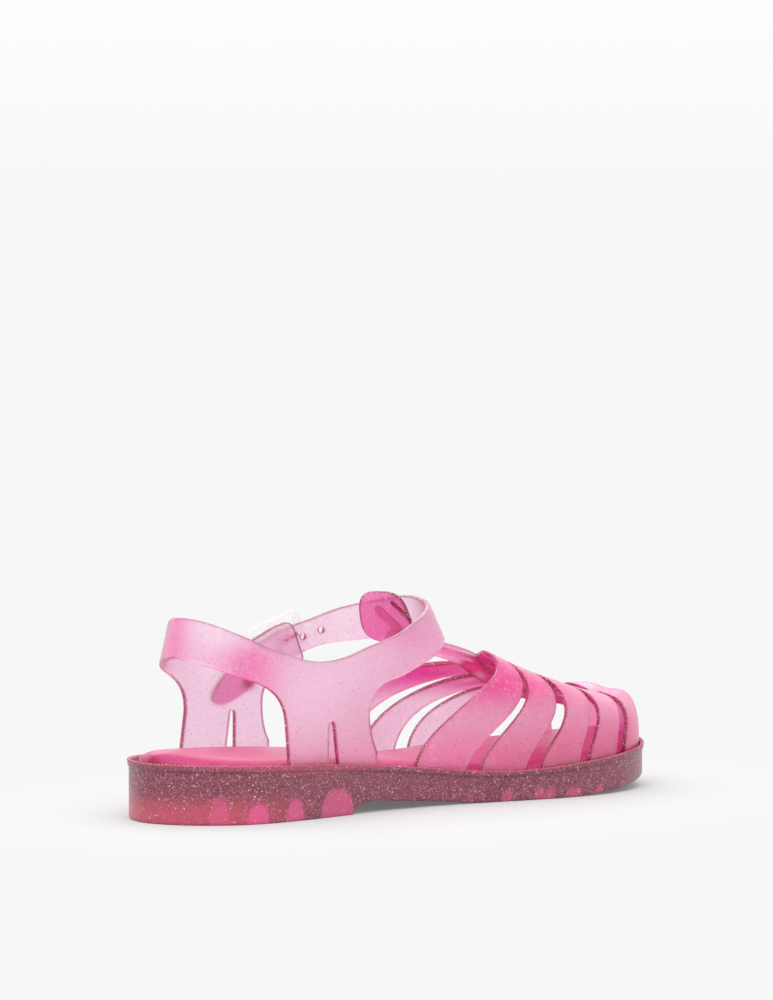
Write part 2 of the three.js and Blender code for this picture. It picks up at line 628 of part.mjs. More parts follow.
// Upper, ankle: the wall around the ankle. The arc runs from the middle of the heel, plus on the inner side.
function ringTable() {
  const count = RING.length;
  const around = range(count + 1).map((i) => (HEEL_STATION + count - i) % count);
  const plan = around.map((i) => ({
    x: RING_BACK * LENGTH + RING[i].x * COLLAR_LENGTH,
    y: RING[i].y * COLLAR_WIDTH,
    leanX: RING[i].leanX,
    leanY: RING[i].leanY,
  }));
  const arcs = [0];
  for (const i of range(count)) {
    arcs.push(arcs[i] + Math.hypot(plan[i + 1].x - plan[i].x, plan[i + 1].y - plan[i].y));
  }
  const length = arcs[count];
  const margin = count - 2;
  const wrap = (i) => ({ arc: arcs[i % count] + length * Math.floor(i / count), row: plan[i % count] });
  const rows = range(count + 2 * margin).map((i) => {
    const item = wrap(i + count - margin);
    return { arc: item.arc - length, ...item.row };
  });
  const pick = (name) => curveThrough(rows.map((row) => row.arc), rows.map((row) => row[name]));
  return { length, x: pick('x'), y: pick('y'), leanX: pick('leanX'), leanY: pick('leanY') };
}

const ring = ringTable();
const ringLevel = RING_LEVEL * INSTEP_HEIGHT;

// Towards the sole the wall eases out or in, so that the legs stand on the line of the vamp's wall.
function ringPoint(arc, z) {
  const level = LEG_EASE * INSTEP_HEIGHT;
  const footX = ring.x(arc) + ring.leanX(arc) * (level - ringLevel);
  const foot = rimHeight(clamp(footX, 0, LENGTH));
  const rise = Math.max(z, foot) - ringLevel;
  const edge = ring.y(arc) < 0 ? wallPlan.medial(footX) : wallPlan.lateral(footX);
  const shift = edge - (ring.y(arc) + ring.leanY(arc) * (foot - ringLevel));
  const y = ring.y(arc) + ring.leanY(arc) * rise + shift * smoothStep((level - z) / (level - foot));
  return [ring.x(arc) + ring.leanX(arc) * rise, y, z];
}

function ringNormal(arc, z) {
  const step = 0.5;
  const a = new THREE.Vector3(...ringPoint(arc + step, z)).sub(new THREE.Vector3(...ringPoint(arc - step, z)));
  const b = new THREE.Vector3(...ringPoint(arc, z + step)).sub(new THREE.Vector3(...ringPoint(arc, z - step)));
  return a.cross(b).normalize();
}

// A point at a distance outside the ring's outer face.
function ringAt(arc, z, outward) {
  return new THREE.Vector3(...ringPoint(arc, z)).addScaledVector(ringNormal(arc, z), outward).toArray();
}

function strapLift(arc) {
  const { start, end } = OVERLAP;
  return STRAP_LIFT * smoothStep((arc / ring.length - start) / (end - start));
}

const bandArc = column(BAND, 'arc', ring.length);
const bandTop = curveThrough(bandArc, column(BAND, 'top', INSTEP_HEIGHT));
const bandBottom = curveThrough(bandArc, column(BAND, 'bottom', INSTEP_HEIGHT));

function smoothMin(a, b, width) {
  const near = Math.max(width - Math.abs(a - b), 0) / width;
  return Math.min(a, b) - (near * near * width) / 4;
}

function smoothMax(a, b, width) {
  return -smoothMin(-a, -b, width);
}

// Distance to the edge of the ankle piece laid out flat, minus inside: the band, its two ends and the legs.
function anklePattern(arc, z) {
  const band = smoothMax(z - bandTop(arc), bandBottom(arc) - z, 1);
  const tabSlant = TAB_SLANT * (z - INSTEP_HEIGHT * BUCKLE_LEVEL);
  const tabEnd = TAB_END * ring.length - tabSlant - arc;
  const tailEnd = arc - TAIL_END * ring.length;
  let inside = band;
  for (const leg of LEGS) {
    const side = Math.sign(leg.rear);
    const along = arc * side;
    const rear = leg.rear * side * ring.length;
    const front = leg.front * side * ring.length;
    const spread = leg.flare * ring.length * Math.exp((SOLE_HEIGHT - Math.max(z, FLARE_FOOT)) / FLARE_HEIGHT);
    const post = Math.max(rear - along, along - front - spread, z - bandTop(arc) + WALL);
    const share = clamp((along - rear) / (front - rear), 0, 1);
    inside = smoothMin(inside, post, leg.rearFillet + (leg.frontFillet - leg.rearFillet) * share);
  }
  inside = Math.max(inside, z - bandTop(arc));
  return smoothMax(smoothMax(inside, tabEnd, TAB_ROUND), tailEnd, TAIL_ROUND);
}

// Grid cells inside a pattern. Corners near its edge are moved onto it, so the edge comes out smooth.
function patternFaces(columns, rows, pattern) {
  const at = rows.map((z) => columns.map((arc) => ({ arc, z, depth: pattern(arc, z) })));
  const step = Math.abs(columns[1] - columns[0]);
  const neighbours = [[1, 0], [-1, 0], [0, 1], [0, -1]];
  const snap = [];
  at.forEach((line, i) => line.forEach((node, j) => {
    for (const [di, dj] of neighbours) {
      const other = at[i + di]?.[j + dj];
      if (!other || node.depth < 0 === other.depth < 0) continue;
      if (Math.abs(node.depth) <= Math.abs(other.depth)) {
        snap.push(node);
        return;
      }
    }
  }));
  for (const node of snap) {
    for (const _ of range(3)) {
      const h = step / 20;
      const depth = pattern(node.arc, node.z);
      const slopeArc = (pattern(node.arc + h, node.z) - pattern(node.arc - h, node.z)) / (2 * h);
      const slopeZ = (pattern(node.arc, node.z + h) - pattern(node.arc, node.z - h)) / (2 * h);
      const size = Math.max(slopeArc ** 2 + slopeZ ** 2, 0.2);
      node.arc -= (depth * slopeArc) / size;
      node.z -= (depth * slopeZ) / size;
    }
    node.depth = 0;
  }
  const width = columns.length;
  const faces = [];
  for (const i of range(rows.length - 1)) {
    for (const j of range(width - 1)) {
      const corner = [[i, j], [i + 1, j], [i + 1, j + 1], [i, j + 1]].filter(([r, c]) => at[r][c].depth <= 0);
      if (corner.length < 3) continue;
      const middle = corner.reduce((sum, [r, c]) => [sum[0] + at[r][c].arc, sum[1] + at[r][c].z], [0, 0]);
      const inside = pattern(middle[0] / corner.length, middle[1] / corner.length) < -step / 25;
      if (inside) faces.push(corner.map(([r, c]) => r * width + c));
    }
  }
  return { nodes: at.flat(), faces };
}

function ankleSolid() {
  const step = ANKLE_STEP;
  const low = (TAB_END - 0.03) * ring.length;
  const high = (TAIL_END + 0.02) * ring.length;
  const top = INSTEP_HEIGHT * 1.03;
  const columns = range(Math.ceil((high - low) / step) + 1).map((i) => low + i * step);
  const rows = range(Math.ceil(top / step) + 1).map((i) => top - i * step);
  const footOf = (arc) => {
    const [x] = ringPoint(arc, SOLE_HEIGHT);
    return rimHeight(x) - RECESS + CLEARANCE * 2;
  };
  const pattern = (arc, z) => Math.max(anklePattern(arc, z), footOf(arc) - z);
  const { nodes, faces } = patternFaces(columns, rows, pattern);
  const points = nodes.map((node) => ringAt(node.arc, node.z, strapLift(node.arc)));
  let solid = thickened(points, faces, WALL);
  for (const leg of LEGS) solid = solid.subtract(slitSolid(leg));
  for (const share of HOLE_ARCS) solid = solid.subtract(holeSolid(share * ring.length));
  return solid;
}

// A tapered slit with a round head, cut through a leg.
function slitSolid(leg) {
  const arc = leg.slit * ring.length;
  const [x, y] = ringPoint(arc, SOLE_HEIGHT);
  const foot = rimHeight(x) - RECESS;
  const head = leg.slitTop * INSTEP_HEIGHT;
  const shape = new THREE.Shape();
  shape.moveTo(-SLIT_FOOT / 2, foot + FLANGE_THICK);
  shape.lineTo(SLIT_FOOT / 2, foot + FLANGE_THICK);
  shape.lineTo(SLIT_HEAD / 2, head - SLIT_HEAD / 2);
  shape.absarc(0, head - SLIT_HEAD / 2, SLIT_HEAD / 2, 0, Math.PI, false);
  shape.lineTo(-SLIT_FOOT / 2, foot + FLANGE_THICK);
  const depth = 20;
  const cutter = new THREE.ExtrudeGeometry(shape, { depth, bevelEnabled: false, curveSegments: 4 });
  cutter.rotateX(Math.PI / 2);
  cutter.translate(x, y + depth / 2, 0);
  return geometrySolid(cutter);
}

function bandMiddle(arc) {
  return (bandTop(arc) + bandBottom(arc)) / 2;
}

// A strap hole: a short round peg of space, square to the strap.
function holeSolid(arc) {
  const peg = new THREE.CylinderGeometry(HOLE_DIAMETER / 2, HOLE_DIAMETER / 2, WALL * 3, 10);
  const level = bandMiddle(arc);
  const turn = new THREE.Quaternion().setFromUnitVectors(new THREE.Vector3(0, 1, 0), ringNormal(arc, level));
  peg.applyQuaternion(turn);
  peg.translate(...ringAt(arc, level, strapLift(arc) - WALL / 2));
  return geometrySolid(peg);
}

// The flange that joins every foot of the upper, around under the insole.
function flangeSolid() {
  const setIn = LIP + CLEARANCE * 2;
  const top = (x) => flangeFoot(x) + FLANGE_THICK;
  const plate = slab(setIn, flangeFoot, top, [], 40, 2);
  const opening = slab(setIn + FLANGE_WIDTH, (x) => flangeFoot(x) - 1, (x) => top(x) + 1, [], 28, 2);
  return plate.subtract(opening);
}

// The T-bar: an arched strip along the foot, running into the head inside the ankle strap.
function tbarSolid() {
  const along = range(TBAR_LINE.length);
  const lineX = curveThrough(along, column(TBAR_LINE, 'x', LENGTH));
  const lineY = curveThrough(along, column(TBAR_LINE, 'y', BALL_WIDTH));
  const lineZ = curveThrough(along, column(TBAR_LINE, 'z', INSTEP_HEIGHT));
  const steps = 16;
  const across = 6;
  const points = [];
  for (const i of range(steps + 1)) {
    const t = (i / steps) * (along.length - 1);
    for (const j of range(across + 1)) {
      const share = (2 * j) / across - 1;
      points.push([
        lineX(t),
        lineY(t) + (share * TBAR_WIDTH) / 2,
        lineZ(t) - TBAR_ARCH * share ** 2,
      ]);
    }
  }
  const faces = [];
  for (const i of range(steps)) {
    for (const j of range(across)) {
      const a = i * (across + 1) + j;
      faces.push([a, a + 1, a + across + 2, a + across + 1]);
    }
  }
  return thickened(points, faces, TBAR_THICK).add(headSolid());
}

// The head: a tab with rounded corners against the inner face of the strap, tied to the strip below it.
function headSolid() {
  const middle = HEAD_ARC * ring.length;
  const level = HEAD_LEVEL * INSTEP_HEIGHT;
  const pattern = (arc, z) => {
    const u = Math.abs(arc - middle) / (HEAD_WIDTH / 2);
    const v = Math.abs(z - level) / (HEAD_HEIGHT / 2);
    return ((u ** 3 + v ** 3) ** (1 / 3) - 1) * (HEAD_WIDTH / 2);
  };
  const count = 11;
  const columns = range(count).map((i) => middle + (i - (count - 1) / 2) * HEAD_STEP);
  const rows = range(count).map((i) => level - (i - (count - 1) / 2) * HEAD_STEP);
  const { nodes, faces } = patternFaces(columns, rows, pattern);
  const points = nodes.map((node) => ringAt(node.arc, node.z, HEAD_SINK - WALL));
  return thickened(points, faces, WALL);
}

// The space that the outsole's rim and bed take, grown by the clearance.
function bedWallSolid() {
  const outside = slab(-RIM_BAND, () => -1, (x) => rimHeight(x) + CLEARANCE, [], 32, 2);
  return outside.subtract(slab(LIP + CLEARANCE, flangeFoot, (x) => rimHeight(x) + RIM_BAND, [], 32, 2));
}

function upperSolid() {
  return vampSolid().add(flangeSolid()).add(ankleSolid()).add(tbarSolid()).subtract(bedWallSolid());
}

// Places in the buckle's own plane, p along the strap towards the toe and q across it, laid onto the ring.
function buckleAt(p, q, outward) {
  const arc = BUCKLE_ARC * ring.length - p * Math.cos(BUCKLE_TILT) + q * Math.sin(BUCKLE_TILT);
  const level = BUCKLE_LEVEL * INSTEP_HEIGHT + p * Math.sin(BUCKLE_TILT) + q * Math.cos(BUCKLE_TILT);
  return ringAt(arc, level, outward);
}

const buckleFloor = STRAP_LIFT + CLEARANCE;

function roundedLoop(halfP, halfQ, radius, outward) {
  const centres = [[1, 1, 0], [-1, 1, 1], [-1, -1, 2], [1, -1, 3]];
  const steps = 4;
  return centres.flatMap(([signP, signQ, quarter]) => range(steps + 1).map((i) => {
    const angle = (Math.PI / 2) * (quarter + i / steps);
    const p = signP * (halfP - radius) + radius * Math.cos(angle);
    const q = signQ * (halfQ - radius) + radius * Math.sin(angle);
    return buckleAt(p, q, outward);
  }));
}

function barSolid(fromP, toP, halfQ, low, high) {
  const corners = [];
  const steps = 6;
  for (const i of range(steps + 1)) {
    const q = halfQ * ((2 * i) / steps - 1);
    corners.push([buckleAt(fromP, q, low), buckleAt(toP, q, low), buckleAt(toP, q, high), buckleAt(fromP, q, high)]);
  }
  const points = corners.flat();
  const faces = [[3, 2, 1, 0], [0, 1, 2, 3].map((i) => i + steps * 4)];
  for (const i of range(steps)) {
    for (const j of range(4)) {
      const k = (j + 1) % 4;
      faces.push([i * 4 + j, i * 4 + k, (i + 1) * 4 + k, (i + 1) * 4 + j]);
    }
  }
  return closedMesh(points, faces);
}

function buckleFrameSolid() {
  const halfP = BUCKLE_LENGTH / 2;
  const halfQ = BUCKLE_WIDTH / 2;
  const top = buckleFloor + BUCKLE_THICK;
  const frame = ringSolid([
    roundedLoop(halfP - BUCKLE_BAR, halfQ - BUCKLE_BAR, 1, buckleFloor),
    roundedLoop(halfP - BUCKLE_BAR, halfQ - BUCKLE_BAR, 1, top),
    roundedLoop(halfP, halfQ, BUCKLE_CORNER, top),
    roundedLoop(halfP, halfQ, BUCKLE_CORNER, buckleFloor),
  ]);
  const bar = barSolid(-BUCKLE_BAR / 2, BUCKLE_BAR / 2, halfQ - BUCKLE_BAR / 2, buckleFloor + 0.2, top - 0.2);
  return frame.add(bar);
}

function prongSolid() {
  const from = BUCKLE_BAR / 2 + CLEARANCE;
  const to = BUCKLE_LENGTH / 2 - BUCKLE_BAR - CLEARANCE;
  return barSolid(from, to, PRONG_WIDTH / 2, buckleFloor, buckleFloor + PRONG_THICK);
}

function studSolid() {
  const arc = STUD_ARC * ring.length;
  const level = STUD_LEVEL * INSTEP_HEIGHT;
  const radius = STUD_DIAMETER / 2;
  const profile = [[0, 0], [radius, 0], [radius, STUD_HEIGHT * 0.55], [radius * 0.72, STUD_HEIGHT], [0, STUD_HEIGHT]];
  const lathe = new THREE.LatheGeometry(profile.map(([r, h]) => new THREE.Vector2(r, h)), 20);
  const normal = ringNormal(arc, level);
  lathe.applyQuaternion(new THREE.Quaternion().setFromUnitVectors(new THREE.Vector3(0, 1, 0), normal));
  lathe.translate(...ringAt(arc, level, STRAP_LIFT + CLEARANCE));
  return geometrySolid(lathe);
}

// Materials
function plastic(color, roughness, opacity = 1) {
  return new THREE.MeshStandardMaterial({ color, roughness, metalness: 0, opacity, transparent: opacity < 1 });
}

const materials = {
  sole: plastic('#8e4058', 0.28),
  insole: plastic('#f03a8c', 0.5),
  upper: plastic('#f07db0', 0.25, 0.75),
  buckle: plastic('#f2f2f2', 0.08, 0.4),
  stud: plastic('#a8324e', 0.3),
};

function named(name, solid, material) {
  const data = solid.getMesh();
  const geometry = new THREE.BufferGeometry();
  geometry.setAttribute('position', new THREE.BufferAttribute(data.vertProperties, 3));
  geometry.setIndex(new THREE.BufferAttribute(data.triVerts, 1));
  const mesh = new THREE.Mesh(geometry, material);
  mesh.name = name;
  return mesh;
}

const sandal = new THREE.Group();
sandal.add(named('outsole', outsoleSolid(), materials.sole));
sandal.add(named('insole', insoleSolid(), materials.insole));
sandal.add(named('upper', upperSolid(), materials.upper));
sandal.add(named('buckle_frame', buckleFrameSolid(), materials.buckle));
sandal.add(named('buckle_prong', prongSolid(), materials.stud));
sandal.add(named('keeper_stud', studSolid(), materials.stud));

// The origin is on the ground under the middle of the shoe's box.
const box = new THREE.Box3().setFromObject(sandal);
sandal.position.set(-(box.min.x + box.max.x) / 2, -(box.min.y + box.max.y) / 2, -box.min.z);

export default sandal;
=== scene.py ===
"""Looks of a moulded jelly sandal.

It has a translucent pink vinyl upper, a hot pink footbed, a glitter vinyl sole and a clear buckle. Every
piece is worked out in millimetres with the heel of the sole at x = 0, and put into the CAD frame at the end.
"""

import math

import bpy
import numpy as np
from mathutils import Matrix, Vector


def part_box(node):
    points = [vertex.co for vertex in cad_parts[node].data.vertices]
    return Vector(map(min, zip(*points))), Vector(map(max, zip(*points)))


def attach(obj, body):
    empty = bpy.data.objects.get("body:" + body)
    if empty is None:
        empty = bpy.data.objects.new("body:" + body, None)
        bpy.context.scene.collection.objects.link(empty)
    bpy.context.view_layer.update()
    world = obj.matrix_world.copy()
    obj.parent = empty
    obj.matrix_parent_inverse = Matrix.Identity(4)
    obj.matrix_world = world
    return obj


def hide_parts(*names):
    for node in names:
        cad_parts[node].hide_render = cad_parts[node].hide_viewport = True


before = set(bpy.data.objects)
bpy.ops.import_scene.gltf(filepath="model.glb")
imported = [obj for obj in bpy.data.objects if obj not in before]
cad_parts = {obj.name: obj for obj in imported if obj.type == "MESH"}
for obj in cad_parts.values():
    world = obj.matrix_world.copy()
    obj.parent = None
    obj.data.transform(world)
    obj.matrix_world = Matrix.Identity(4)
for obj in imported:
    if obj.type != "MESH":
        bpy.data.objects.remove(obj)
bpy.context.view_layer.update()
MM = 0.001

# Driving sizes of the shoe, as in the CAD part
LENGTH = 250.0
BALL_WIDTH = 95.2
SOLE_HEIGHT = 22.2
TOE_SPRING = 7.5
ARCH_RISE = 4.0
INSTEP_HEIGHT = 80.0
COLLAR_LENGTH = 127.0
COLLAR_WIDTH = 57.0

# Walls, steps and clearances
WALL = 2.2
CLEARANCE = 0.3
RIM_STEP = 0.5
RIM_BAND = 2.2
LIP = 1.3
RECESS = 4.4
FLANGE_THICK = 1.6
INSOLE_RISE = 1.8
INSOLE_CROWN = 2.4
PILLOW_EDGE = 6.0       # width of the footbed's rounded edge, and how far it falls
PILLOW_DROP = 2.4
EDGE_RADIUS = 0.6       # rounding of the upper's cut edges
BEAD_PITCH = 1.7        # bead row along the rim of the sole
BEAD_RADIUS = 0.55

# Strap, T-bar, buckle and stud
STRAP_LIFT = 3.0
TAB_SLANT = -0.45
TAB_ROUND = 3.5
TAIL_ROUND = 9.0
TBAR_WIDTH = 13.0
TBAR_THICK = 2.8
TBAR_ARCH = 2.6
TBAR_RIDGES = 3
RIDGE_HEIGHT = 0.45
HEAD_WIDTH = 24.0
HEAD_HEIGHT = 20.5
BUCKLE_LENGTH = 25.0
BUCKLE_WIDTH = 19.0
BUCKLE_BAR = 2.9
BUCKLE_THICK = 2.4
BUCKLE_CORNER = 3.0
PRONG_WIDTH = 2.4
PRONG_THICK = 1.4
STUD_RADIUS = 3.4
STUD_HEIGHT = 1.8
HOLE_RADIUS = 1.2

# The sole's plan: x as a share of LENGTH, half widths as shares of BALL_WIDTH, rim as a share of SOLE_HEIGHT
SOLE_SECTIONS = np.array([
    # x, medial, lateral, rim
    (0.000, 0.000, 0.000, 1.000),
    (0.016, 0.143, 0.142, 0.995),
    (0.048, 0.250, 0.248, 0.986),
    (0.100, 0.335, 0.333, 0.968),
    (0.168, 0.361, 0.364, 0.941),
    (0.240, 0.354, 0.372, 0.901),
    (0.320, 0.342, 0.384, 0.833),
    (0.400, 0.335, 0.410, 0.748),
    (0.480, 0.345, 0.443, 0.649),
    (0.560, 0.380, 0.481, 0.559),
    (0.620, 0.421, 0.505, 0.532),
    (0.680, 0.461, 0.512, 0.554),
    (0.728, 0.482, 0.497, 0.595),
    (0.780, 0.488, 0.459, 0.640),
    (0.832, 0.474, 0.400, 0.689),
    (0.880, 0.435, 0.345, 0.734),
    (0.920, 0.378, 0.284, 0.770),
    (0.952, 0.307, 0.218, 0.797),
    (0.976, 0.226, 0.146, 0.820),
    (0.992, 0.148, 0.070, 0.833),
    (1.000, 0.053, -0.035, 0.838),
])

# The tread's line: x as a share of LENGTH, arch of ARCH_RISE, spring of TOE_SPRING
TREAD_LINE = np.array([
    # x, arch, spring
    (0.000, 0.00, 0.00),
    (0.302, 0.00, 0.00),
    (0.306, 0.42, 0.00),
    (0.316, 0.76, 0.00),
    (0.334, 1.00, 0.00),
    (0.400, 0.82, 0.00),
    (0.500, 0.34, 0.00),
    (0.560, 0.00, 0.00),
    (0.680, 0.00, 0.00),
    (0.760, 0.00, 0.06),
    (0.840, 0.00, 0.25),
    (0.920, 0.00, 0.56),
    (1.000, 0.00, 1.00),
])

# Hollows behind the sole's side wall, over which the sole gets a painted glow for the light through the thin
# wall: middle and width as shares of LENGTH, height in millimetres, and how clearly each one shows
HOLLOWS = np.array([
    # x, width, height, strength
    (0.060, 0.022, 10.8, 0.50),
    (0.113, 0.034, 7.3, 0.95),
    (0.180, 0.034, 8.4, 0.85),
    (0.268, 0.071, 10.4, 0.80),
    (0.537, 0.012, 4.5, 0.30),
    (0.605, 0.021, 4.6, 0.50),
    (0.659, 0.020, 4.6, 0.60),
    (0.680, 0.020, 4.6, 0.60),
    (0.725, 0.032, 4.0, 0.60),
    (0.780, 0.016, 3.6, 0.65),
    (0.840, 0.015, 3.0, 0.30),
])

# The last over the forefoot: x as a share of LENGTH, ridge height of INSTEP_HEIGHT, and the ridge's medial
# offset of BALL_WIDTH
RIDGE = np.array([
    # x, z, medial
    (0.40, 0.985, 0.005),
    (0.48, 0.899, 0.015),
    (0.60, 0.785, 0.024),
    (0.70, 0.648, 0.030),
    (0.78, 0.561, 0.063),
    (0.85, 0.500, 0.087),
    (0.91, 0.470, 0.100),
    (0.96, 0.482, 0.107),
    (1.00, 0.482, 0.109),
])
SIDE_FULLNESS = 0.70
TOP_FULLNESS = 0.62
TOE_START = 0.85
TOE_FULLNESS = 6.6
OUTER_CROWN = 4.35      # how much the toe cap's outer half stands above the section
CROWN_START = 0.75
CROWN_RUN = 0.15
VAMP_BACK = 100.0       # where the vamp's grid starts, and where its finer rows at the toe begin
TOE_TURN = 226.0

# Edges of the vamp ribs at the sole and beside the spine, shares of LENGTH, and how late each turns forward
RIB_EDGES = np.array([
    # inner side: foot, ridge, bend; outer side: foot, ridge, bend
    (0.442, 0.637, 3.2, 0.483, 0.700, 2.3),
    (0.538, 0.661, 5.4, 0.554, 0.742, 3.0),
    (0.564, 0.670, 5.1, 0.594, 0.753, 3.2),
    (0.642, 0.716, 5.9, 0.678, 0.817, 2.2),
    (0.669, 0.733, 6.5, 0.707, 0.829, 2.1),
    (0.743, 0.797, 2.9, 0.776, 0.866, 2.0),
    (0.765, 0.808, 4.3, 0.796, 0.878, 1.9),
    (0.830, 0.897, 1.2, 0.846, 0.906, 3.4),
    (0.858, 0.909, 1.8, 0.878, 0.934, 3.6),
])
RIDGE_BLEND = 0.2       # share of the half section over which the two sides' edges meet

# A shorter slit in the outer side of the toe cap: two edges, each at the sole and at the ridge, and its end
OUTER_SLIT = ((0.943, 0.932), (0.965, 0.950))
SLIT_END = 0.4
SPINE_SHARE = 0.06

# The ankle ring in plan: x as a share of COLLAR_LENGTH, y of COLLAR_WIDTH, and its lean per mm up
RING = np.array([
    # x, y, lean of x, lean of y
    (1.000, 0.035, -0.45, 0.000),
    (0.969, -0.237, -0.50, 0.100),
    (0.878, -0.386, -0.30, 0.200),
    (0.737, -0.442, -0.10, 0.120),
    (0.564, -0.474, 0.00, 0.085),
    (0.383, -0.491, 0.00, 0.085),
    (0.226, -0.477, 0.04, 0.095),
    (0.100, -0.404, 0.15, 0.080),
    (0.026, -0.246, 0.28, 0.080),
    (0.000, 0.000, 0.31, 0.000),
    (0.036, 0.225, 0.27, -0.020),
    (0.103, 0.383, 0.14, -0.170),
    (0.226, 0.491, 0.05, -0.100),
    (0.383, 0.518, 0.00, -0.095),
    (0.564, 0.518, 0.00, -0.125),
    (0.722, 0.474, -0.10, -0.180),
    (0.864, 0.412, -0.30, -0.200),
    (0.962, 0.254, -0.45, -0.100),
])
RING_BACK = 0.065
RING_LEVEL = 0.825
HEEL_STATION = 9

# Edges of the band along the ring: arc as a share of the ring's length, top and bottom of INSTEP_HEIGHT
BAND = np.array([
    # arc, top, bottom
    (-0.350, 0.890, 0.650),
    (-0.318, 0.885, 0.660),
    (-0.287, 0.860, 0.640),
    (-0.240, 0.782, 0.600),
    (-0.198, 0.731, 0.560),
    (-0.134, 0.788, 0.612),
    (-0.083, 0.870, 0.682),
    (-0.045, 0.925, 0.726),
    (0.000, 0.943, 0.756),
    (0.045, 0.920, 0.730),
    (0.083, 0.870, 0.681),
    (0.134, 0.788, 0.610),
    (0.198, 0.730, 0.550),
    (0.240, 0.742, 0.560),
    (0.281, 0.782, 0.588),
    (0.342, 0.840, 0.640),
    (0.390, 0.908, 0.712),
    (0.447, 0.965, 0.787),
    (0.498, 0.996, 0.815),
    (0.540, 0.988, 0.806),
    (0.588, 0.950, 0.770),
    (0.655, 0.876, 0.727),
    (0.710, 0.815, 0.645),
    (0.760, 0.716, 0.520),
    (0.790, 0.627, 0.474),
    (0.840, 0.500, 0.420),
])
TAB_END = -0.3195
TAIL_END = 0.813
OVERLAP_START = 0.56
OVERLAP_END = 0.64

# The two legs: edges, flare and slit as shares of the ring's length, slit top of INSTEP_HEIGHT, fillets in mm
LEGS = (
    # rear, front, flare, slit, slit top, rear fillet, front fillet
    (0.142, 0.2745, 0.014, 0.2115, 0.445, 12.0, 13.0),
    (-0.142, -0.266, 0.021, -0.218, 0.452, 13.5, 13.0),
)
LEG_EASE = 0.55
FLARE_HEIGHT = 8.0
FLARE_FOOT = 23.0       # height below which a leg flares no further
SLIT_FOOT = 5.4
SLIT_HEAD = 2.6

# The T-bar's line: x as a share of LENGTH, y of BALL_WIDTH, z of INSTEP_HEIGHT
TBAR_LINE = np.array([
    # x, y, z
    (0.860, -0.085, 0.457),
    (0.780, -0.065, 0.520),
    (0.720, -0.040, 0.592),
    (0.660, -0.022, 0.701),
    (0.612, 0.015, 0.752),
    (0.578, 0.070, 0.790),
    (0.560, 0.110, 0.835),
])
HEAD_ARC = 0.551
HEAD_LEVEL = 0.897
HEAD_BARS = (
    # arc and level of both ends, width and height in mm, how dark its edge is
    (0.562, 0.952, 0.531, 0.839, 3.4, 1.6, 0.1),
    (0.534, 0.985, 0.505, 0.885, 1.6, 1.4, 0.9),
)
HEAD_FACE = -4.3        # how far inside the ring the head's inner face lies, in mm
HEAD_LIFT = 0.25        # how far the head stands into the strap
HEAD_REACH = 14.0       # half the size of the grid that the head is cut from
BUCKLE_ARC = 0.703
BUCKLE_LEVEL = 0.759
BUCKLE_TILT = 0.337
STUD_ARC = 0.743
STUD_LEVEL = 0.577
HOLE_ARCS = (0.642, 0.669)

# How rich the pink is: where along the ring and how far it spreads, as shares of its length, and how strong
TAIL_PINK = (0.72, 0.05, 0.5)
# painted shade where the band turns away round the heel
HEEL_PAINTED_SHADE = (-0.015, 0.025, 0.6)
# painted shade low on the band beside the heel
SADDLE_PAINTED_SHADE = (0.098, 0.038, 0.65)
FOOT_PINK = 0.3
VAMP_PINK = 0.16        # all over, then near the sole, near the ridge and at the toe
# painted shade low on the vamp's inner side, where the dark inside of the shoe lies behind it
VAMP_FOOT_PAINTED_SHADE = 0.35
RIDGE_PINK = 0.85
TOE_PINK = 0.5

HEAD_PINK = 0.75
HEAD_BAR_PINK = 0.5
TBAR_PINK = 0.45

# How dark the edges are where the rounding alone doesn't say it
TBAR_EDGE = 0.5
PRONG_EDGE = 0.5
STUD_EDGE = 0.7

# The painted red glow under the rim round the heel, where the light gets in: its middle, spread and height in
# mm. Then how strong that glow, the painted warm light low in the heel block and the warmth of the beads are
RIM_GLOW_MIDDLE = 52.0
RIM_GLOW_SPREAD = 30.0
RIM_GLOW_HEIGHT = 2.6
RIM_GLOW_STRENGTH = 0.35
BLOCK_GLOW = 0.75
BEAD_WARMTH = 0.6


def curve_through(xs, ys):
    """A smooth curve through rows: cubics, each slope a mean of two chords weighted by the other's length."""
    xs = np.asarray(xs, float)
    ys = np.asarray(ys, float)
    spans = np.diff(xs)
    chords = np.diff(ys) / spans
    inner = (chords[:-1] * spans[1:] + chords[1:] * spans[:-1]) / (spans[:-1] + spans[1:])
    slopes = np.concatenate([chords[:1], inner, chords[-1:]])

    def at(x):
        x = np.asarray(x, float)
        i = np.clip(np.searchsorted(xs, x) - 1, 0, len(xs) - 2)
        t = (x - xs[i]) / spans[i]
        held = ys[i] * (2 * t**3 - 3 * t**2 + 1) + ys[i + 1] * (3 * t**2 - 2 * t**3)
        return held + spans[i] * (slopes[i] * (t**3 - 2 * t**2 + t) + slopes[i + 1] * (t**3 - t**2))

    return at


def smooth_step(t):
    """0 below 0, 1 above 1, and 3t squared minus 2t cubed between."""
    s = np.clip(t, 0.0, 1.0)
    return s * s * (3 - 2 * s)


def smooth_min(a, b, width):
    """The smaller of two distances, rounded where they are within a width of each other."""
    near = np.maximum(width - np.abs(a - b), 0.0) / width
    return np.minimum(a, b) - near * near * width / 4


def smooth_max(a, b, width):
    return -smooth_min(-a, -b, width)


def unit(vectors):
    size = np.linalg.norm(vectors, axis=-1, keepdims=True)
    return vectors / np.maximum(size, 1e-9)


# The sole's plan
sole_x = SOLE_SECTIONS[:, 0] * LENGTH
rim_height = curve_through(sole_x, SOLE_SECTIONS[:, 3] * SOLE_HEIGHT)


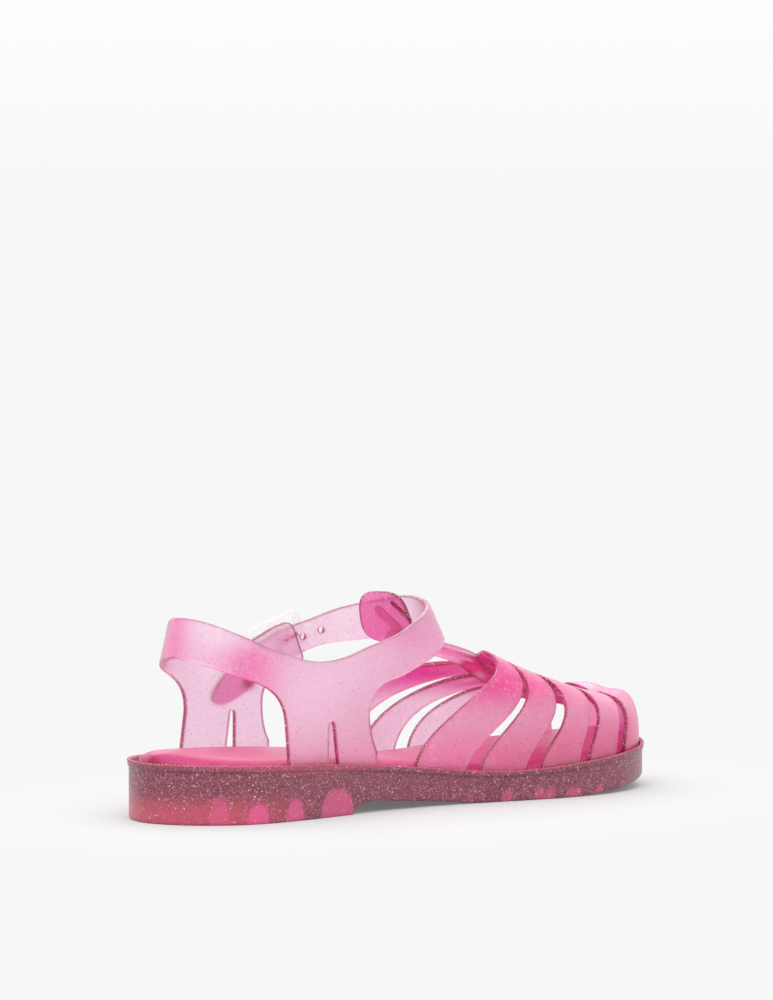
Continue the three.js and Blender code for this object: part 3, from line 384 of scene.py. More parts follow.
def outline_loop(steps=1600):
    """Closed curve through the plan's half widths, along the medial side and back along the lateral side."""
    medial = np.stack([sole_x, -SOLE_SECTIONS[:, 1] * BALL_WIDTH], axis=1)
    lateral = np.stack([sole_x, SOLE_SECTIONS[:, 2] * BALL_WIDTH], axis=1)[1:-1][::-1]
    corner = np.concatenate([medial, lateral])
    wrapped = np.concatenate([corner[-3:], corner, corner[:3]])
    along = np.concatenate([[0.0], np.cumsum(np.linalg.norm(np.diff(wrapped, axis=0), axis=1))])
    t = along[3] + (along[3 + len(corner)] - along[3]) * np.arange(steps) / steps
    return np.stack([curve_through(along, wrapped[:, 0])(t), curve_through(along, wrapped[:, 1])(t)], axis=1)


outline = outline_loop()


class Plan:
    """The outline set in by a distance along its own normal: y of either side at any x from heel to toe."""

    def __init__(self, distance):
        ahead = np.roll(outline, -4, axis=0) - np.roll(outline, 4, axis=0)
        tangent = unit(ahead)
        loop = outline + np.stack([-tangent[:, 1], tangent[:, 0]], axis=1) * distance
        loop = np.roll(loop, -int(np.argmin(loop[:, 0])), axis=0)
        loop = np.concatenate([loop, loop[:1]])
        toe = int(np.argmax(loop[:, 0]))
        self.near = loop[: toe + 1]
        self.far = loop[toe:][::-1]
        self.heel = loop[0, 0]
        self.toe = loop[toe, 0]

    def medial(self, x):
        return np.interp(x, np.maximum.accumulate(self.near[:, 0]), self.near[:, 1])

    def lateral(self, x):
        return np.interp(x, np.maximum.accumulate(self.far[:, 0]), self.far[:, 1])

    def ring(self, count):
        """Points round the plan at stations closer together at heel and toe, medial side first."""
        angle = np.pi * np.arange(count + 1) / count
        x = self.heel + (self.toe - self.heel) * (1 - np.cos(angle)) / 2
        near = np.stack([x, self.medial(x)], axis=1)
        far = np.stack([x, self.lateral(x)], axis=1)[1:-1][::-1]
        return np.concatenate([near, far])


# The CAD part's origin is on the ground under the middle of its box
cad_low, cad_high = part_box("outsole")
SHIFT = np.array([
    (cad_low.x + cad_high.x) / 2 / MM - (outline[:, 0].min() + outline[:, 0].max()) / 2,
    (cad_low.y + cad_high.y) / 2 / MM - (outline[:, 1].min() + outline[:, 1].max()) / 2,
    0.0,
])

tread_arch = curve_through(TREAD_LINE[:, 0] * LENGTH, TREAD_LINE[:, 1] * ARCH_RISE)
tread_spring = curve_through(TREAD_LINE[:, 0] * LENGTH, TREAD_LINE[:, 2] * TOE_SPRING)
HEEL_FLAT_END = TREAD_LINE[1, 0] * LENGTH
BALL_FLAT = TREAD_LINE[7:9, 0] * LENGTH


def tread_height(x):
    """Height of the tread: flat under heel and ball, the arch between them and the toe spring in front."""
    t = np.clip(x, 0.0, LENGTH)
    flat = (t <= HEEL_FLAT_END) | ((t >= BALL_FLAT[0]) & (t <= BALL_FLAT[1]))
    return np.where(flat, 0.0, np.maximum(tread_arch(t) + tread_spring(t), 0.0))


# Meshes
def add_piece(name, points, faces, material, slot, **attributes):
    """Makes a smooth-shaded mesh in the CAD frame from points in millimetres and lists of faces."""
    data = bpy.data.meshes.new(name)
    located = (np.asarray(points, float) + SHIFT) * MM
    data.from_pydata(located.tolist(), [], faces)
    data.polygons.foreach_set("use_smooth", np.ones(len(data.polygons), bool))
    for key, values in attributes.items():
        layer = data.attributes.new(key, "FLOAT", "POINT")
        layer.data.foreach_set("value", np.asarray(values, np.float32))
    data.materials.append(material)
    data.update()
    obj = bpy.data.objects.new(name, data)
    bpy.context.scene.collection.objects.link(obj)
    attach(obj, "root")
    return obj


def grid_quads(rows, columns, closed_rows=False, closed_columns=False):
    """Quads of a grid of points numbered row by row, wrapped round where a direction is closed."""
    i = np.arange(rows if closed_rows else rows - 1)
    j = np.arange(columns if closed_columns else columns - 1)
    a = (i[:, None] * columns + j[None, :]).ravel()
    b = (i[:, None] * columns + (j[None, :] + 1) % columns).ravel()
    c = (((i[:, None] + 1) % rows) * columns + (j[None, :] + 1) % columns).ravel()
    d = (((i[:, None] + 1) % rows) * columns + j[None, :]).ravel()
    return np.stack([a, b, c, d], axis=1)


def pattern_skin(u, v, pattern, step):
    """Cells of the grid u by v where the pattern is below zero. Corners beside its edge are moved onto it."""
    depth = pattern(u, v)
    inside = depth < 0
    snap = np.zeros(depth.shape, bool)
    for axis in (0, 1):
        for turn in (1, -1):
            other = np.roll(depth, turn, axis=axis)
            differs = inside != (other < 0)
            edge = [slice(None), slice(None)]
            edge[axis] = 0 if turn == 1 else -1
            differs[tuple(edge)] = False
            snap |= differs & (np.abs(depth) <= np.abs(other))
    a = u[snap]
    b = v[snap]
    small = step / 20
    for _ in range(4):
        here = pattern(a, b)
        slope_a = (pattern(a + small, b) - pattern(a - small, b)) / (2 * small)
        slope_b = (pattern(a, b + small) - pattern(a, b - small)) / (2 * small)
        size = np.maximum(slope_a**2 + slope_b**2, 0.2)
        a = a - np.clip(here * slope_a / size, -step, step)
        b = b - np.clip(here * slope_b / size, -step, step)
    u = u.copy()
    v = v.copy()
    u[snap] = a
    v[snap] = b
    depth[snap] = 0.0
    rows, columns = u.shape
    cells = grid_quads(rows, columns)
    ok = depth.ravel()[cells] <= 0
    flat_u = u.ravel()
    flat_v = v.ravel()
    weight = ok / np.maximum(ok.sum(axis=1, keepdims=True), 1)
    middle = pattern((flat_u[cells] * weight).sum(axis=1), (flat_v[cells] * weight).sum(axis=1)) < -step / 25
    quads = cells[(ok.sum(axis=1) == 4) & middle]
    three = (ok.sum(axis=1) == 3) & middle
    lacking = np.argmin(ok[three], axis=1)
    order = (lacking[:, None] + np.array([1, 2, 3])) % 4
    tris = np.take_along_axis(cells[three], order, axis=1)
    return flat_u, flat_v, quads, tris


def turned(quads, tris):
    """The same cells with their other side up."""
    return quads[:, [0, 3, 2, 1]], tris[:, [0, 2, 1]]


def rounded_wall(points, normals, quads, tris, wall, radius, steps=3):
    """A skin with a wall. Along its open edge a half round runs from the outer skin to the inner: a quarter
    circle outward and down, then straight, then a quarter circle back. Returns points, faces, how far out
    each point is, and which point of the skin it comes from."""
    used = np.unique(np.concatenate([quads.ravel(), tris.ravel()]))
    number = np.full(len(points), -1)
    number[used] = np.arange(len(used))
    points = points[used]
    normals = normals[used]
    quads = number[quads]
    tris = number[tris]
    count = len(points)
    pairs = np.concatenate([quads[:, [0, 1]], quads[:, [1, 2]], quads[:, [2, 3]], quads[:, [3, 0]],
                            tris[:, [0, 1]], tris[:, [1, 2]], tris[:, [2, 0]]])
    keys = pairs[:, 0] * count + pairs[:, 1]
    twins = pairs[:, 1] * count + pairs[:, 0]
    border = pairs[~np.isin(keys, twins)]
    tangent = np.zeros((count, 3))
    ahead = points[border[:, 1]] - points[border[:, 0]]
    np.add.at(tangent, border[:, 0], unit(ahead))
    np.add.at(tangent, border[:, 1], unit(ahead))
    rim = np.unique(border)
    outward = unit(np.cross(tangent[rim], normals[rim]))
    place = np.full(count, -1)
    place[rim] = np.arange(len(rim))
    quarter = np.pi / 2 * np.arange(1, steps + 1) / steps
    back = quarter - quarter[0]
    reach = radius * np.concatenate([np.sin(quarter), np.cos(back)])
    drop = np.concatenate([radius * (1 - np.cos(quarter)), wall - radius + radius * np.sin(back)])
    rows = [points[rim] + outward * r - normals[rim] * d for r, d in zip(reach, drop)]
    all_points = np.concatenate([points, points - normals * wall, *rows])
    first = place[border[:, 0]]
    second = place[border[:, 1]]
    chain_a = [border[:, 0]]
    chain_b = [border[:, 1]]
    for k in range(len(reach)):
        chain_a.append(2 * count + k * len(rim) + first)
        chain_b.append(2 * count + k * len(rim) + second)
    chain_a.append(border[:, 0] + count)
    chain_b.append(border[:, 1] + count)
    strips = [np.stack([chain_b[k], chain_a[k], chain_a[k + 1], chain_b[k + 1]], axis=1)
              for k in range(len(chain_a) - 1)]
    faces = quads.tolist() + tris.tolist()
    faces += (quads[:, ::-1] + count).tolist() + (tris[:, ::-1] + count).tolist()
    for strip in strips:
        faces += strip.tolist()
    edge = np.concatenate([np.zeros(2 * count), np.tile(reach / radius, (len(rim), 1)).T.ravel()])
    kept = np.concatenate([used, used, np.tile(used[rim], len(reach))])
    return all_points, faces, edge, kept


def swept(path, across, up, profile, closed=False):
    """A profile carried along a path: each of its points is a number times across plus a number times up."""
    points = path[:, None, :] + profile[..., 0:1] * across[:, None, :] + profile[..., 1:2] * up[:, None, :]
    rows, columns = points.shape[:2]
    faces = grid_quads(rows, columns, closed_rows=closed, closed_columns=True).tolist()
    if not closed:
        faces.append(list(range(columns))[::-1])
        faces.append([(rows - 1) * columns + j for j in range(columns)])
    return points.reshape(-1, 3), faces


# Materials
JELLY_FLECK = 0.34      # size of a fleck of glitter in mm; the real ones are finer, and so are the sole's
SOLE_FLECK = 0.42


def linear(code):
    """Linear colour of an sRGB hex code."""
    value = np.array([int(code[i:i + 2], 16) for i in (1, 3, 5)]) / 255
    value = np.where(value <= 0.04045, value / 12.92, ((value + 0.055) / 1.055) ** 2.4)
    return (*value.tolist(), 1.0)


def add_node(tree, kind, settings=None, **links):
    """Adds a node. Settings are its properties and its sockets' values by name or number. Links are what
    feeds its sockets, by name or by i and a number."""
    node = tree.nodes.new(kind)
    for key, value in (settings or {}).items():
        if isinstance(key, str) and hasattr(node, key):
            setattr(node, key, value)
        else:
            node.inputs[key].default_value = value
    for key, source in links.items():
        name = key.replace("_", " ")
        socket = node.inputs[int(key[1:])] if key[0] == "i" and key[1:].isdigit() else node.inputs[name]
        tree.links.new(source, socket)
    return node


def new_material(name):
    material = bpy.data.materials.new(name)
    material.use_nodes = True
    material.node_tree.nodes.clear()
    return material, material.node_tree


def noise(tree, place, size, detail=2.0):
    """Noise fixed to the object, with features of a size in mm."""
    return add_node(tree, "ShaderNodeTexNoise", {"Scale": 1 / (size * MM), "Detail": detail},
                    Vector=place.outputs["Object"])


def flecks(tree, place, size):
    """Cells fixed to the object, each of a size in mm and with a random colour."""
    return add_node(tree, "ShaderNodeTexVoronoi", {"Scale": 1 / (size * MM)}, Vector=place.outputs["Object"])


def blend(tree, factor, first, second):
    """One colour turning into another as the factor grows. A colour is a code or the socket that gives it."""
    node = add_node(tree, "ShaderNodeMix", {"data_type": "RGBA"}, Factor=factor)
    for place, colour in ((6, first), (7, second)):
        if isinstance(colour, str):
            node.inputs[place].default_value = linear(colour)
        else:
            tree.links.new(colour, node.inputs[place])
    return node.outputs[2]


def relief(tree, strength, height):
    """A bump of a tenth of a millimetre from a height."""
    return add_node(tree, "ShaderNodeBump", {"Strength": strength, "Distance": 0.1 * MM}, Height=height)


# The ring round the ankle, laid out flat: arc from the middle of the heel, plus on the inner side, and height
def ring_curves():
    """Closed curves of the ring's plan and lean over the arc. Rows repeat past both ends to stay smooth."""
    count = len(RING)
    around = (HEEL_STATION - np.arange(count + 1)) % count
    plan = RING[around] * np.array([COLLAR_LENGTH, COLLAR_WIDTH, 1.0, 1.0])
    plan[:, 0] += RING_BACK * LENGTH
    arcs = np.concatenate([[0.0], np.cumsum(np.linalg.norm(np.diff(plan[:, :2], axis=0), axis=1))])
    length = arcs[count]
    margin = count - 2
    index = np.arange(count + 2 * margin) + count - margin
    arc = arcs[index % count] + length * (index // count) - length
    return length, [curve_through(arc, plan[index % count, k]) for k in range(4)]


ring_length, (ring_x, ring_y, ring_lean_x, ring_lean_y) = ring_curves()
ring_level = RING_LEVEL * INSTEP_HEIGHT
wall_plan = Plan(LIP + CLEARANCE * 1.5)
band_top = curve_through(BAND[:, 0] * ring_length, BAND[:, 1] * INSTEP_HEIGHT)
band_bottom = curve_through(BAND[:, 0] * ring_length, BAND[:, 2] * INSTEP_HEIGHT)


def ring_point(arc, z):
    """Plan of the ring at the arc, moved by its lean with height and eased onto the vamp near the sole."""
    level = LEG_EASE * INSTEP_HEIGHT
    foot_x = ring_x(arc) + ring_lean_x(arc) * (level - ring_level)
    foot = rim_height(np.clip(foot_x, 0, LENGTH))
    rise = np.maximum(z, foot) - ring_level
    edge = np.where(ring_y(arc) < 0, wall_plan.medial(foot_x), wall_plan.lateral(foot_x))
    shift = edge - (ring_y(arc) + ring_lean_y(arc) * (foot - ring_level))
    y = ring_y(arc) + ring_lean_y(arc) * rise + shift * smooth_step((level - z) / (level - foot))
    return np.stack([ring_x(arc) + ring_lean_x(arc) * rise, y, z + 0 * y], axis=-1)


def ring_normal(arc, z):
    along = ring_point(arc + 0.5, z) - ring_point(arc - 0.5, z)
    up = ring_point(arc, z + 0.5) - ring_point(arc, z - 0.5)
    return unit(np.cross(along, up))


def ring_at(arc, z, outward):
    """The ring's point pushed out along its normal."""
    return ring_point(arc, z) + ring_normal(arc, z) * np.asarray(outward)[..., None]


def strap_lift(arc):
    return STRAP_LIFT * smooth_step((arc / ring_length - OVERLAP_START) / (OVERLAP_END - OVERLAP_START))


def ankle_pattern(arc, z):
    """Distance to the edge of the flat ankle piece, minus inside: band, two legs, ends, slits and holes."""
    inside = smooth_max(z - band_top(arc), band_bottom(arc) - z, 1.0)
    for rear, front, flare, slit, slit_top, rear_fillet, front_fillet in LEGS:
        side = math.copysign(1.0, rear)
        along = arc * side
        low = rear * side * ring_length
        high = front * side * ring_length
        spread = flare * ring_length * np.exp((SOLE_HEIGHT - np.maximum(z, FLARE_FOOT)) / FLARE_HEIGHT)
        post = np.maximum(np.maximum(low - along, along - high - spread), z - band_top(arc) + WALL)
        share = np.clip((along - low) / (high - low), 0, 1)
        inside = smooth_min(inside, post, rear_fillet + (front_fillet - rear_fillet) * share)
    inside = np.maximum(inside, z - band_top(arc))
    tab_end = TAB_END * ring_length - TAB_SLANT * (z - INSTEP_HEIGHT * BUCKLE_LEVEL) - arc
    inside = smooth_max(smooth_max(inside, tab_end, TAB_ROUND), arc - TAIL_END * ring_length, TAIL_ROUND)
    for leg in LEGS:
        middle = leg[3] * ring_length
        foot = rim_height(ring_point(middle, SOLE_HEIGHT)[0]) - RECESS + FLANGE_THICK
        head = leg[4] * INSTEP_HEIGHT - SLIT_HEAD / 2
        half = SLIT_FOOT / 2 + (SLIT_HEAD - SLIT_FOOT) / 2 * np.clip((z - foot) / (head - foot), 0, 1)
        slit = half - np.hypot(arc - middle, np.maximum(z - head, 0.0))
        inside = np.maximum(inside, slit)
    for share in HOLE_ARCS:
        middle = share * ring_length
        level = (band_top(middle) + band_bottom(middle)) / 2
        inside = np.maximum(inside, HOLE_RADIUS - np.hypot(arc - middle, z - level))
    return inside


def ankle_piece(step=0.9):
    """The ankle pattern's inside carried onto the ring, lifted where the strap overlaps, with rounded edges.
    Also returns each point's arc as a share of the ring's length."""
    arcs = np.arange((TAB_END - 0.03) * ring_length, (TAIL_END + 0.02) * ring_length, step)
    levels = np.arange(INSTEP_HEIGHT * 1.03, 6.0, -step)
    arc, z = np.meshgrid(arcs, levels)

    def pattern(a, h):
        rim = rim_height(np.clip(ring_point(a, SOLE_HEIGHT + 0 * a)[..., 0], 0, LENGTH))
        foot = rim - RECESS + CLEARANCE * 2
        return np.maximum(ankle_pattern(a, h), foot - h) + EDGE_RADIUS

    a, h, quads, tris = pattern_skin(arc, z, pattern, step)
    quads, tris = turned(quads, tris)
    points, faces, edge, kept = rounded_wall(
        ring_at(a, h, strap_lift(a)), ring_normal(a, h), quads, tris, WALL, EDGE_RADIUS)
    return points, faces, edge, a[kept] / ring_length


def head_piece(step=0.8):
    """The T-bar's head: a superellipse of power three on the ring, against the inside of the strap."""
    middle = HEAD_ARC * ring_length
    level = HEAD_LEVEL * INSTEP_HEIGHT
    reach = np.arange(-HEAD_REACH, HEAD_REACH + step, step)
    arc, z = np.meshgrid(middle + reach, level - reach)

    def pattern(a, h):
        u = np.abs(a - middle) / (HEAD_WIDTH / 2)
        v = np.abs(h - level) / (HEAD_HEIGHT / 2)
        return ((u**3 + v**3) ** (1 / 3) - 1) * HEAD_HEIGHT / 2 + EDGE_RADIUS

    a, h, quads, tris = pattern_skin(arc, z, pattern, step)
    quads, tris = turned(quads, tris)
    skin = ring_at(a, h, HEAD_LIFT - WALL + 0 * a)
    return rounded_wall(skin, ring_normal(a, h), quads, tris, WALL, EDGE_RADIUS)[:3]


# The vamp: the last's surface over the forefoot, cut into ribs
ridge_height = curve_through(RIDGE[:, 0] * LENGTH, RIDGE[:, 1] * INSTEP_HEIGHT)
ridge_offset = curve_through(RIDGE[:, 0] * LENGTH, -RIDGE[:, 2] * BALL_WIDTH)
EVEN_RIDGE = 1 / SIDE_FULLNESS
EVEN_FOOT = 1 / TOP_FULLNESS
GAP_BLEND = 0.6         # how softly a gap's two edges meet, and how round its end is, in mm
GAP_ROUND = 2.0
SECTION_REACH = 60.0    # about half a section's girth in mm, so that the grid's cells come out square


def section_share(w):
    """The share across a section for an even parameter w: finer steps at the ridge and at the sole."""
    size = np.minimum(np.abs(w), 1.0)
    near = size**EVEN_RIDGE
    far = (1 - size) ** EVEN_FOOT
    return np.sign(w) * (near / (near + far) + np.maximum(np.abs(w) - 1, 0))


def vamp_point(x, s):
    """A superellipse section from the medial to the lateral edge of the sole, closing at the toe as 1 - t to
    a power. Past the edge it goes straight down inside the rim."""
    medial = wall_plan.medial(x)
    lateral = wall_plan.lateral(x)
    span = lateral - medial
    ridge = np.clip(ridge_offset(x), medial + 0.35 * span, medial + 0.65 * span)
    angle = (1 - np.minimum(np.abs(s), 1)) * np.pi / 2
    reach = np.clip(np.cos(angle), 0, 1) ** SIDE_FULLNESS
    y = np.where(s < 0, ridge - (ridge - medial) * reach, ridge + (lateral - ridge) * reach)
    start = TOE_START * LENGTH
    share = np.clip((x - start) / (wall_plan.toe - start), 0, 1)
    closing = (1 - share**TOE_FULLNESS) ** (1 / TOE_FULLNESS)
    rise = (ridge_height(x) - rim_height(x)) * closing
    skirt = np.clip((np.abs(s) - 1) / 0.08, 0, 1) * (RECESS - CLEARANCE * 2)
    crown = OUTER_CROWN * smooth_step((x / LENGTH - CROWN_START) / CROWN_RUN) * closing
    crown = crown * np.clip(np.sin(np.pi * np.clip(s, 0, 1)), 0, 1) ** 1.5
    z = rim_height(x) + rise * np.sin(angle) ** TOP_FULLNESS + crown - skirt
    return np.stack([x + 0 * y, y, z], axis=-1)


def rib_edge(row, s):
    """x of a rib's edge at share s: from the ridge it bends back to the sole as s to a power."""
    size = np.minimum(np.abs(s), 1)
    foot = np.where(s < 0, row[0], row[3])
    bent = 1 - size ** np.where(s < 0, row[2], row[5])
    ridge = row[1] + (row[4] - row[1]) * smooth_step((s + RIDGE_BLEND) / (2 * RIDGE_BLEND))
    return (foot + (ridge - foot) * bent) * LENGTH


def slit_edge(row, s):
    """x of an edge of the toe cap's slit: from the ridge it bends to the sole as s squared."""
    foot, ridge = row
    return (ridge + (foot - ridge) * np.minimum(np.abs(s), 1) ** 2) * LENGTH


def vamp_pattern(w, x):
    """Distance to the vamp's nearest cut, minus inside: behind the first rib, each gap up to the spine."""
    s = section_share(w)
    small = 0.004
    ahead = section_share(w + small)
    behind = section_share(w - small)
    across = np.linalg.norm(vamp_point(x, ahead) - vamp_point(x, behind), axis=-1)

    def past(edge, row):
        """How far in front of an edge, measured square to it."""
        slope = (edge(row, ahead) - edge(row, behind)) / across
        return (x - edge(row, s)) / np.sqrt(1 + slope**2)

    inside = -past(rib_edge, RIB_EDGES[0])
    to_spine = (np.abs(s) - SPINE_SHARE * 0.6) * SECTION_REACH
    for i in range(1, len(RIB_EDGES), 2):
        between = smooth_min(past(rib_edge, RIB_EDGES[i]), -past(rib_edge, RIB_EDGES[i + 1]), GAP_BLEND)
        inside = np.maximum(inside, smooth_min(between, to_spine, GAP_ROUND))
    between = smooth_min(past(slit_edge, OUTER_SLIT[0]), -past(slit_edge, OUTER_SLIT[1]), GAP_BLEND)
    inside = np.maximum(inside, smooth_min(between, (s - SLIT_END) * SECTION_REACH, GAP_ROUND))
    return inside + EDGE_RADIUS


def vamp_piece(step=0.8):
    """The vamp's grid, even over the ribs and ever finer where the toe closes, with rounded edges."""
    toe = wall_plan.toe
    back = np.arange(VAMP_BACK, TOE_TURN, step)
    q = np.linspace(1.0, 0.0, 90)
    front = toe - (toe - TOE_TURN) * q**TOE_FULLNESS
    front[-1] = toe - 1e-4
    across = np.linspace(-1.06, 1.06, 171) * SECTION_REACH
    u, x = np.meshgrid(across, np.concatenate([back, front]))
    a, b, quads, tris = pattern_skin(u, x, lambda m, n: vamp_pattern(m / SECTION_REACH, n), step)
    w = a / SECTION_REACH
    small = 1e-3
    side = vamp_point(b, section_share(w + small)) - vamp_point(b, section_share(w - small))
    s = section_share(w)
    ahead = vamp_point(np.minimum(b + small, toe - 1e-5), s) - vamp_point(b - small, s)
    normals = unit(np.cross(ahead, side))
    quads = quads[:, [0, 3, 2, 1]]
    return rounded_wall(vamp_point(b, s), normals, quads, tris[:, [0, 2, 1]], WALL, EDGE_RADIUS)[:3]


def tbar_piece():
    """A strip carried along the T-bar's line: an arched profile with low ridges on top and round edges."""
    along = np.arange(len(TBAR_LINE))
    sizes = (LENGTH, BALL_WIDTH, INSTEP_HEIGHT)
    t = np.linspace(0, len(TBAR_LINE) - 1, 120)
    path = np.stack([curve_through(along, TBAR_LINE[:, k] * sizes[k])(t) for k in range(3)], axis=1)
    across = np.tile([0.0, 1.0, 0.0], (len(t), 1))
    up = unit(np.cross(across, np.gradient(path, axis=0)))
    share = np.linspace(-1, 1, 41)
    half = TBAR_WIDTH / 2
    arch = -TBAR_ARCH * share**2
    round_off = 0.5 * (1 - np.sqrt(1 - np.clip((np.abs(share) - 0.9) / 0.1, 0, 1) ** 2))
    ridges = RIDGE_HEIGHT * np.clip(np.cos(share * np.pi * (TBAR_RIDGES + 1)), 0, 1) * (np.abs(share) < 0.9)
    top = np.stack([share * half, arch - round_off + ridges], axis=1)
    bottom = np.stack([share * half, arch - TBAR_THICK + round_off], axis=1)[::-1]
    profile = np.concatenate([top, bottom])
    points, faces = swept(path, across, up, profile)
    edge = np.tile(np.clip((np.abs(profile[:, 0]) / half - 0.86) / 0.1, 0, 1), len(t))
    return points, faces, edge


def head_bar(start, end, width, height, inward):
    """A low bar on the inner face of the head, between two places of the ring given as arc and z."""
    t = np.linspace(0, 1, 24)
    arc = start[0] + (end[0] - start[0]) * t
    z = start[1] + (end[1] - start[1]) * t
    normal = ring_normal(arc, z)
    path = ring_at(arc, z, inward)
    across = unit(np.cross(np.gradient(path, axis=0), normal))
    taper = np.sqrt(np.clip(1 - np.abs(2 * t - 1) ** 12, 0.02, 1))
    profile = bar_profile(width, height, power=3.2, count=20)[None] * taper[:, None, None]
    return swept(path, across, normal, profile)


# Sole and footbed
def sole_piece(count=320):
    """Rings round the plan from the bed's floor over the lip, rim and side down to the tread, capped."""
    rows = [
        (LIP, RECESS),
        (LIP, 0.35),
        (LIP - 0.12, 0.1),
        (LIP - 0.4, 0.0),
        (0.45, 0.0),
        (0.15, 0.1),
        (0.0, 0.4),
        (0.0, RIM_BAND - 0.35),
        (0.12, RIM_BAND - 0.08),
        (RIM_STEP, RIM_BAND),
    ]
    rings = []
    for distance, drop in rows:
        ring = Plan(distance).ring(count)
        rings.append(np.column_stack([ring, rim_height(np.clip(ring[:, 0], 0, LENGTH)) - drop]))
    side = Plan(RIM_STEP).ring(count)
    low = tread_height(side[:, 0])
    high = rim_height(np.clip(side[:, 0], 0, LENGTH)) - RIM_BAND
    for share in np.linspace(0.03, 1, 26):
        rings.append(np.column_stack([side, high + (low + 0.9 - high) * share]))
    for distance, rise in ((RIM_STEP + 0.1, 0.45), (RIM_STEP + 0.4, 0.12), (RIM_STEP + 0.9, 0.0), (4.0, 0.0)):
        ring = Plan(distance).ring(count)
        rings.append(np.column_stack([ring, tread_height(ring[:, 0]) + rise]))
    points = np.array(rings)
    faces = grid_quads(len(rings), 2 * count, closed_columns=True)[:, ::-1].tolist()
    faces += cap_faces(count, 0, True) + cap_faces(count, (len(rings) - 1) * 2 * count, False)
    return points.reshape(-1, 3), faces


def cap_faces(count, first, up):
    """Strips across a ring of the plan, from its medial to its lateral side."""
    near = first + np.arange(count + 1)
    far = first + (2 * count - np.arange(count + 1)) % (2 * count)
    strips = np.stack([near[1:-2], near[2:-1], far[2:-1], far[1:-2]], axis=1)
    ends = [[near[0], near[1], far[1]], [near[-2], near[-1], far[-2]]]
    faces = strips.tolist() + [[int(k) for k in face] for face in ends]
    return faces if up else [face[::-1] for face in faces]


def hollow_glow(points):
    """How much painted glow each hollow gives the sole's side: domes over the tread with soft edges."""
    x = points[:, 0]
    above = points[:, 2] - tread_height(x)
    glow = np.zeros(len(points))
    for middle, width, height, strength in HOLLOWS:
        half = width * LENGTH / 2
        aside = np.abs(x - middle * LENGTH) / half
        dome = height * np.sqrt(np.clip(1 - np.minimum(aside, 1) ** 2.6, 0, 1))
        soft = smooth_step((dome - above) / 2.4 + 0.5) * smooth_step((1.12 - aside) / 0.3)
        glow = np.maximum(glow, soft * strength)
    return glow


def heel_painted_glow(points):
    """Painted glow of the light that gets in: under the rim round the heel, and low in the heel block."""
    x = points[:, 0]
    z = points[:, 2]
    below = rim_height(np.clip(x, 0, LENGTH)) - z
    lens = RIM_GLOW_HEIGHT * np.exp(-((x - RIM_GLOW_MIDDLE) / RIM_GLOW_SPREAD) ** 2)
    band = RIM_GLOW_STRENGTH * smooth_step((lens + 1.2 - below) / 0.8) * smooth_step(lens / 0.6)
    low = BLOCK_GLOW * smooth_step((62 - x) / 45) * smooth_step((13 - z) / 9)
    return np.maximum(band, low)


def bead_piece():
    """A row of beads round the top of the rim: a thin cord whose radius swells once every bead."""
    ring = Plan(0.35)
    loop = np.concatenate([ring.near, ring.far[::-1][1:-1]])
    along = np.concatenate([[0.0], np.cumsum(np.linalg.norm(np.diff(loop, axis=0, append=loop[:1]), axis=1))])
    closed = np.concatenate([loop, loop[:1]])
    beads = int(round(along[-1] / BEAD_PITCH))
    t = np.linspace(0, along[-1], beads * 6, endpoint=False)
    path = np.stack([np.interp(t, along, closed[:, 0]), np.interp(t, along, closed[:, 1])], axis=1)
    path = np.column_stack([path, rim_height(np.clip(path[:, 0], 0, LENGTH)) - 0.15])
    ahead = unit(np.roll(path, -1, axis=0) - np.roll(path, 1, axis=0))
    up = np.tile([0.0, 0.0, 1.0], (len(t), 1))
    across = unit(np.cross(ahead, up))
    swell = BEAD_RADIUS * (0.72 + 0.28 * np.cos(2 * np.pi * t * beads / along[-1]))
    angle = np.linspace(0, 2 * np.pi, 8, endpoint=False)
    profile = swell[:, None, None] * np.stack([np.cos(angle), np.sin(angle)], axis=1)[None]
    return swept(path, across, up, profile, closed=True)


def footbed_piece(count=200, lanes=44):
    """A slab over the plan whose top is crowned across and rounded where it nears the edge."""
    set_in = LIP + CLEARANCE * 1.5 + WALL + CLEARANCE
    plan = Plan(set_in)
    angle = np.pi * np.arange(count + 1) / count
    x = (plan.heel + (plan.toe - plan.heel) * (1 - np.cos(angle)) / 2)[:, None]
    share = -np.cos(np.pi * np.arange(lanes + 1) / lanes)[None, :]
    low = plan.medial(x)
    high = plan.lateral(x)
    y = (low + high) / 2 + (high - low) / 2 * share
    x = x + 0 * y
    loop = np.concatenate([plan.near, plan.far])[::6]
    flat = np.stack([x.ravel(), y.ravel()], axis=1)
    gap = np.sqrt(((flat[:, None, :] - loop[None, :, :]) ** 2).sum(axis=2).min(axis=1)).reshape(x.shape)
    drop = PILLOW_DROP * (1 - np.sqrt(1 - np.clip(1 - gap / PILLOW_EDGE, 0, 1) ** 2))
    top = rim_height(x) + INSOLE_RISE + INSOLE_CROWN * (1 - share**2) - drop
    foot = rim_height(x) - RECESS + FLANGE_THICK + CLEARANCE * 2
    upper_points = np.stack([x, y, top], axis=-1).reshape(-1, 3)
    lower_points = np.stack([x, y, foot], axis=-1).reshape(-1, 3)
    size = len(upper_points)
    width = lanes + 1
    top_faces = grid_quads(count + 1, width)[:, ::-1]
    faces = top_faces.tolist() + (top_faces[:, ::-1] + size).tolist()
    i = np.arange(count) * width
    near = np.stack([i, i + size, i + width + size, i + width], axis=1)
    far = np.stack([i + lanes, i + lanes + width, i + lanes + width + size, i + lanes + size], axis=1)
    return np.concatenate([upper_points, lower_points]), faces + near.tolist() + far.tolist()


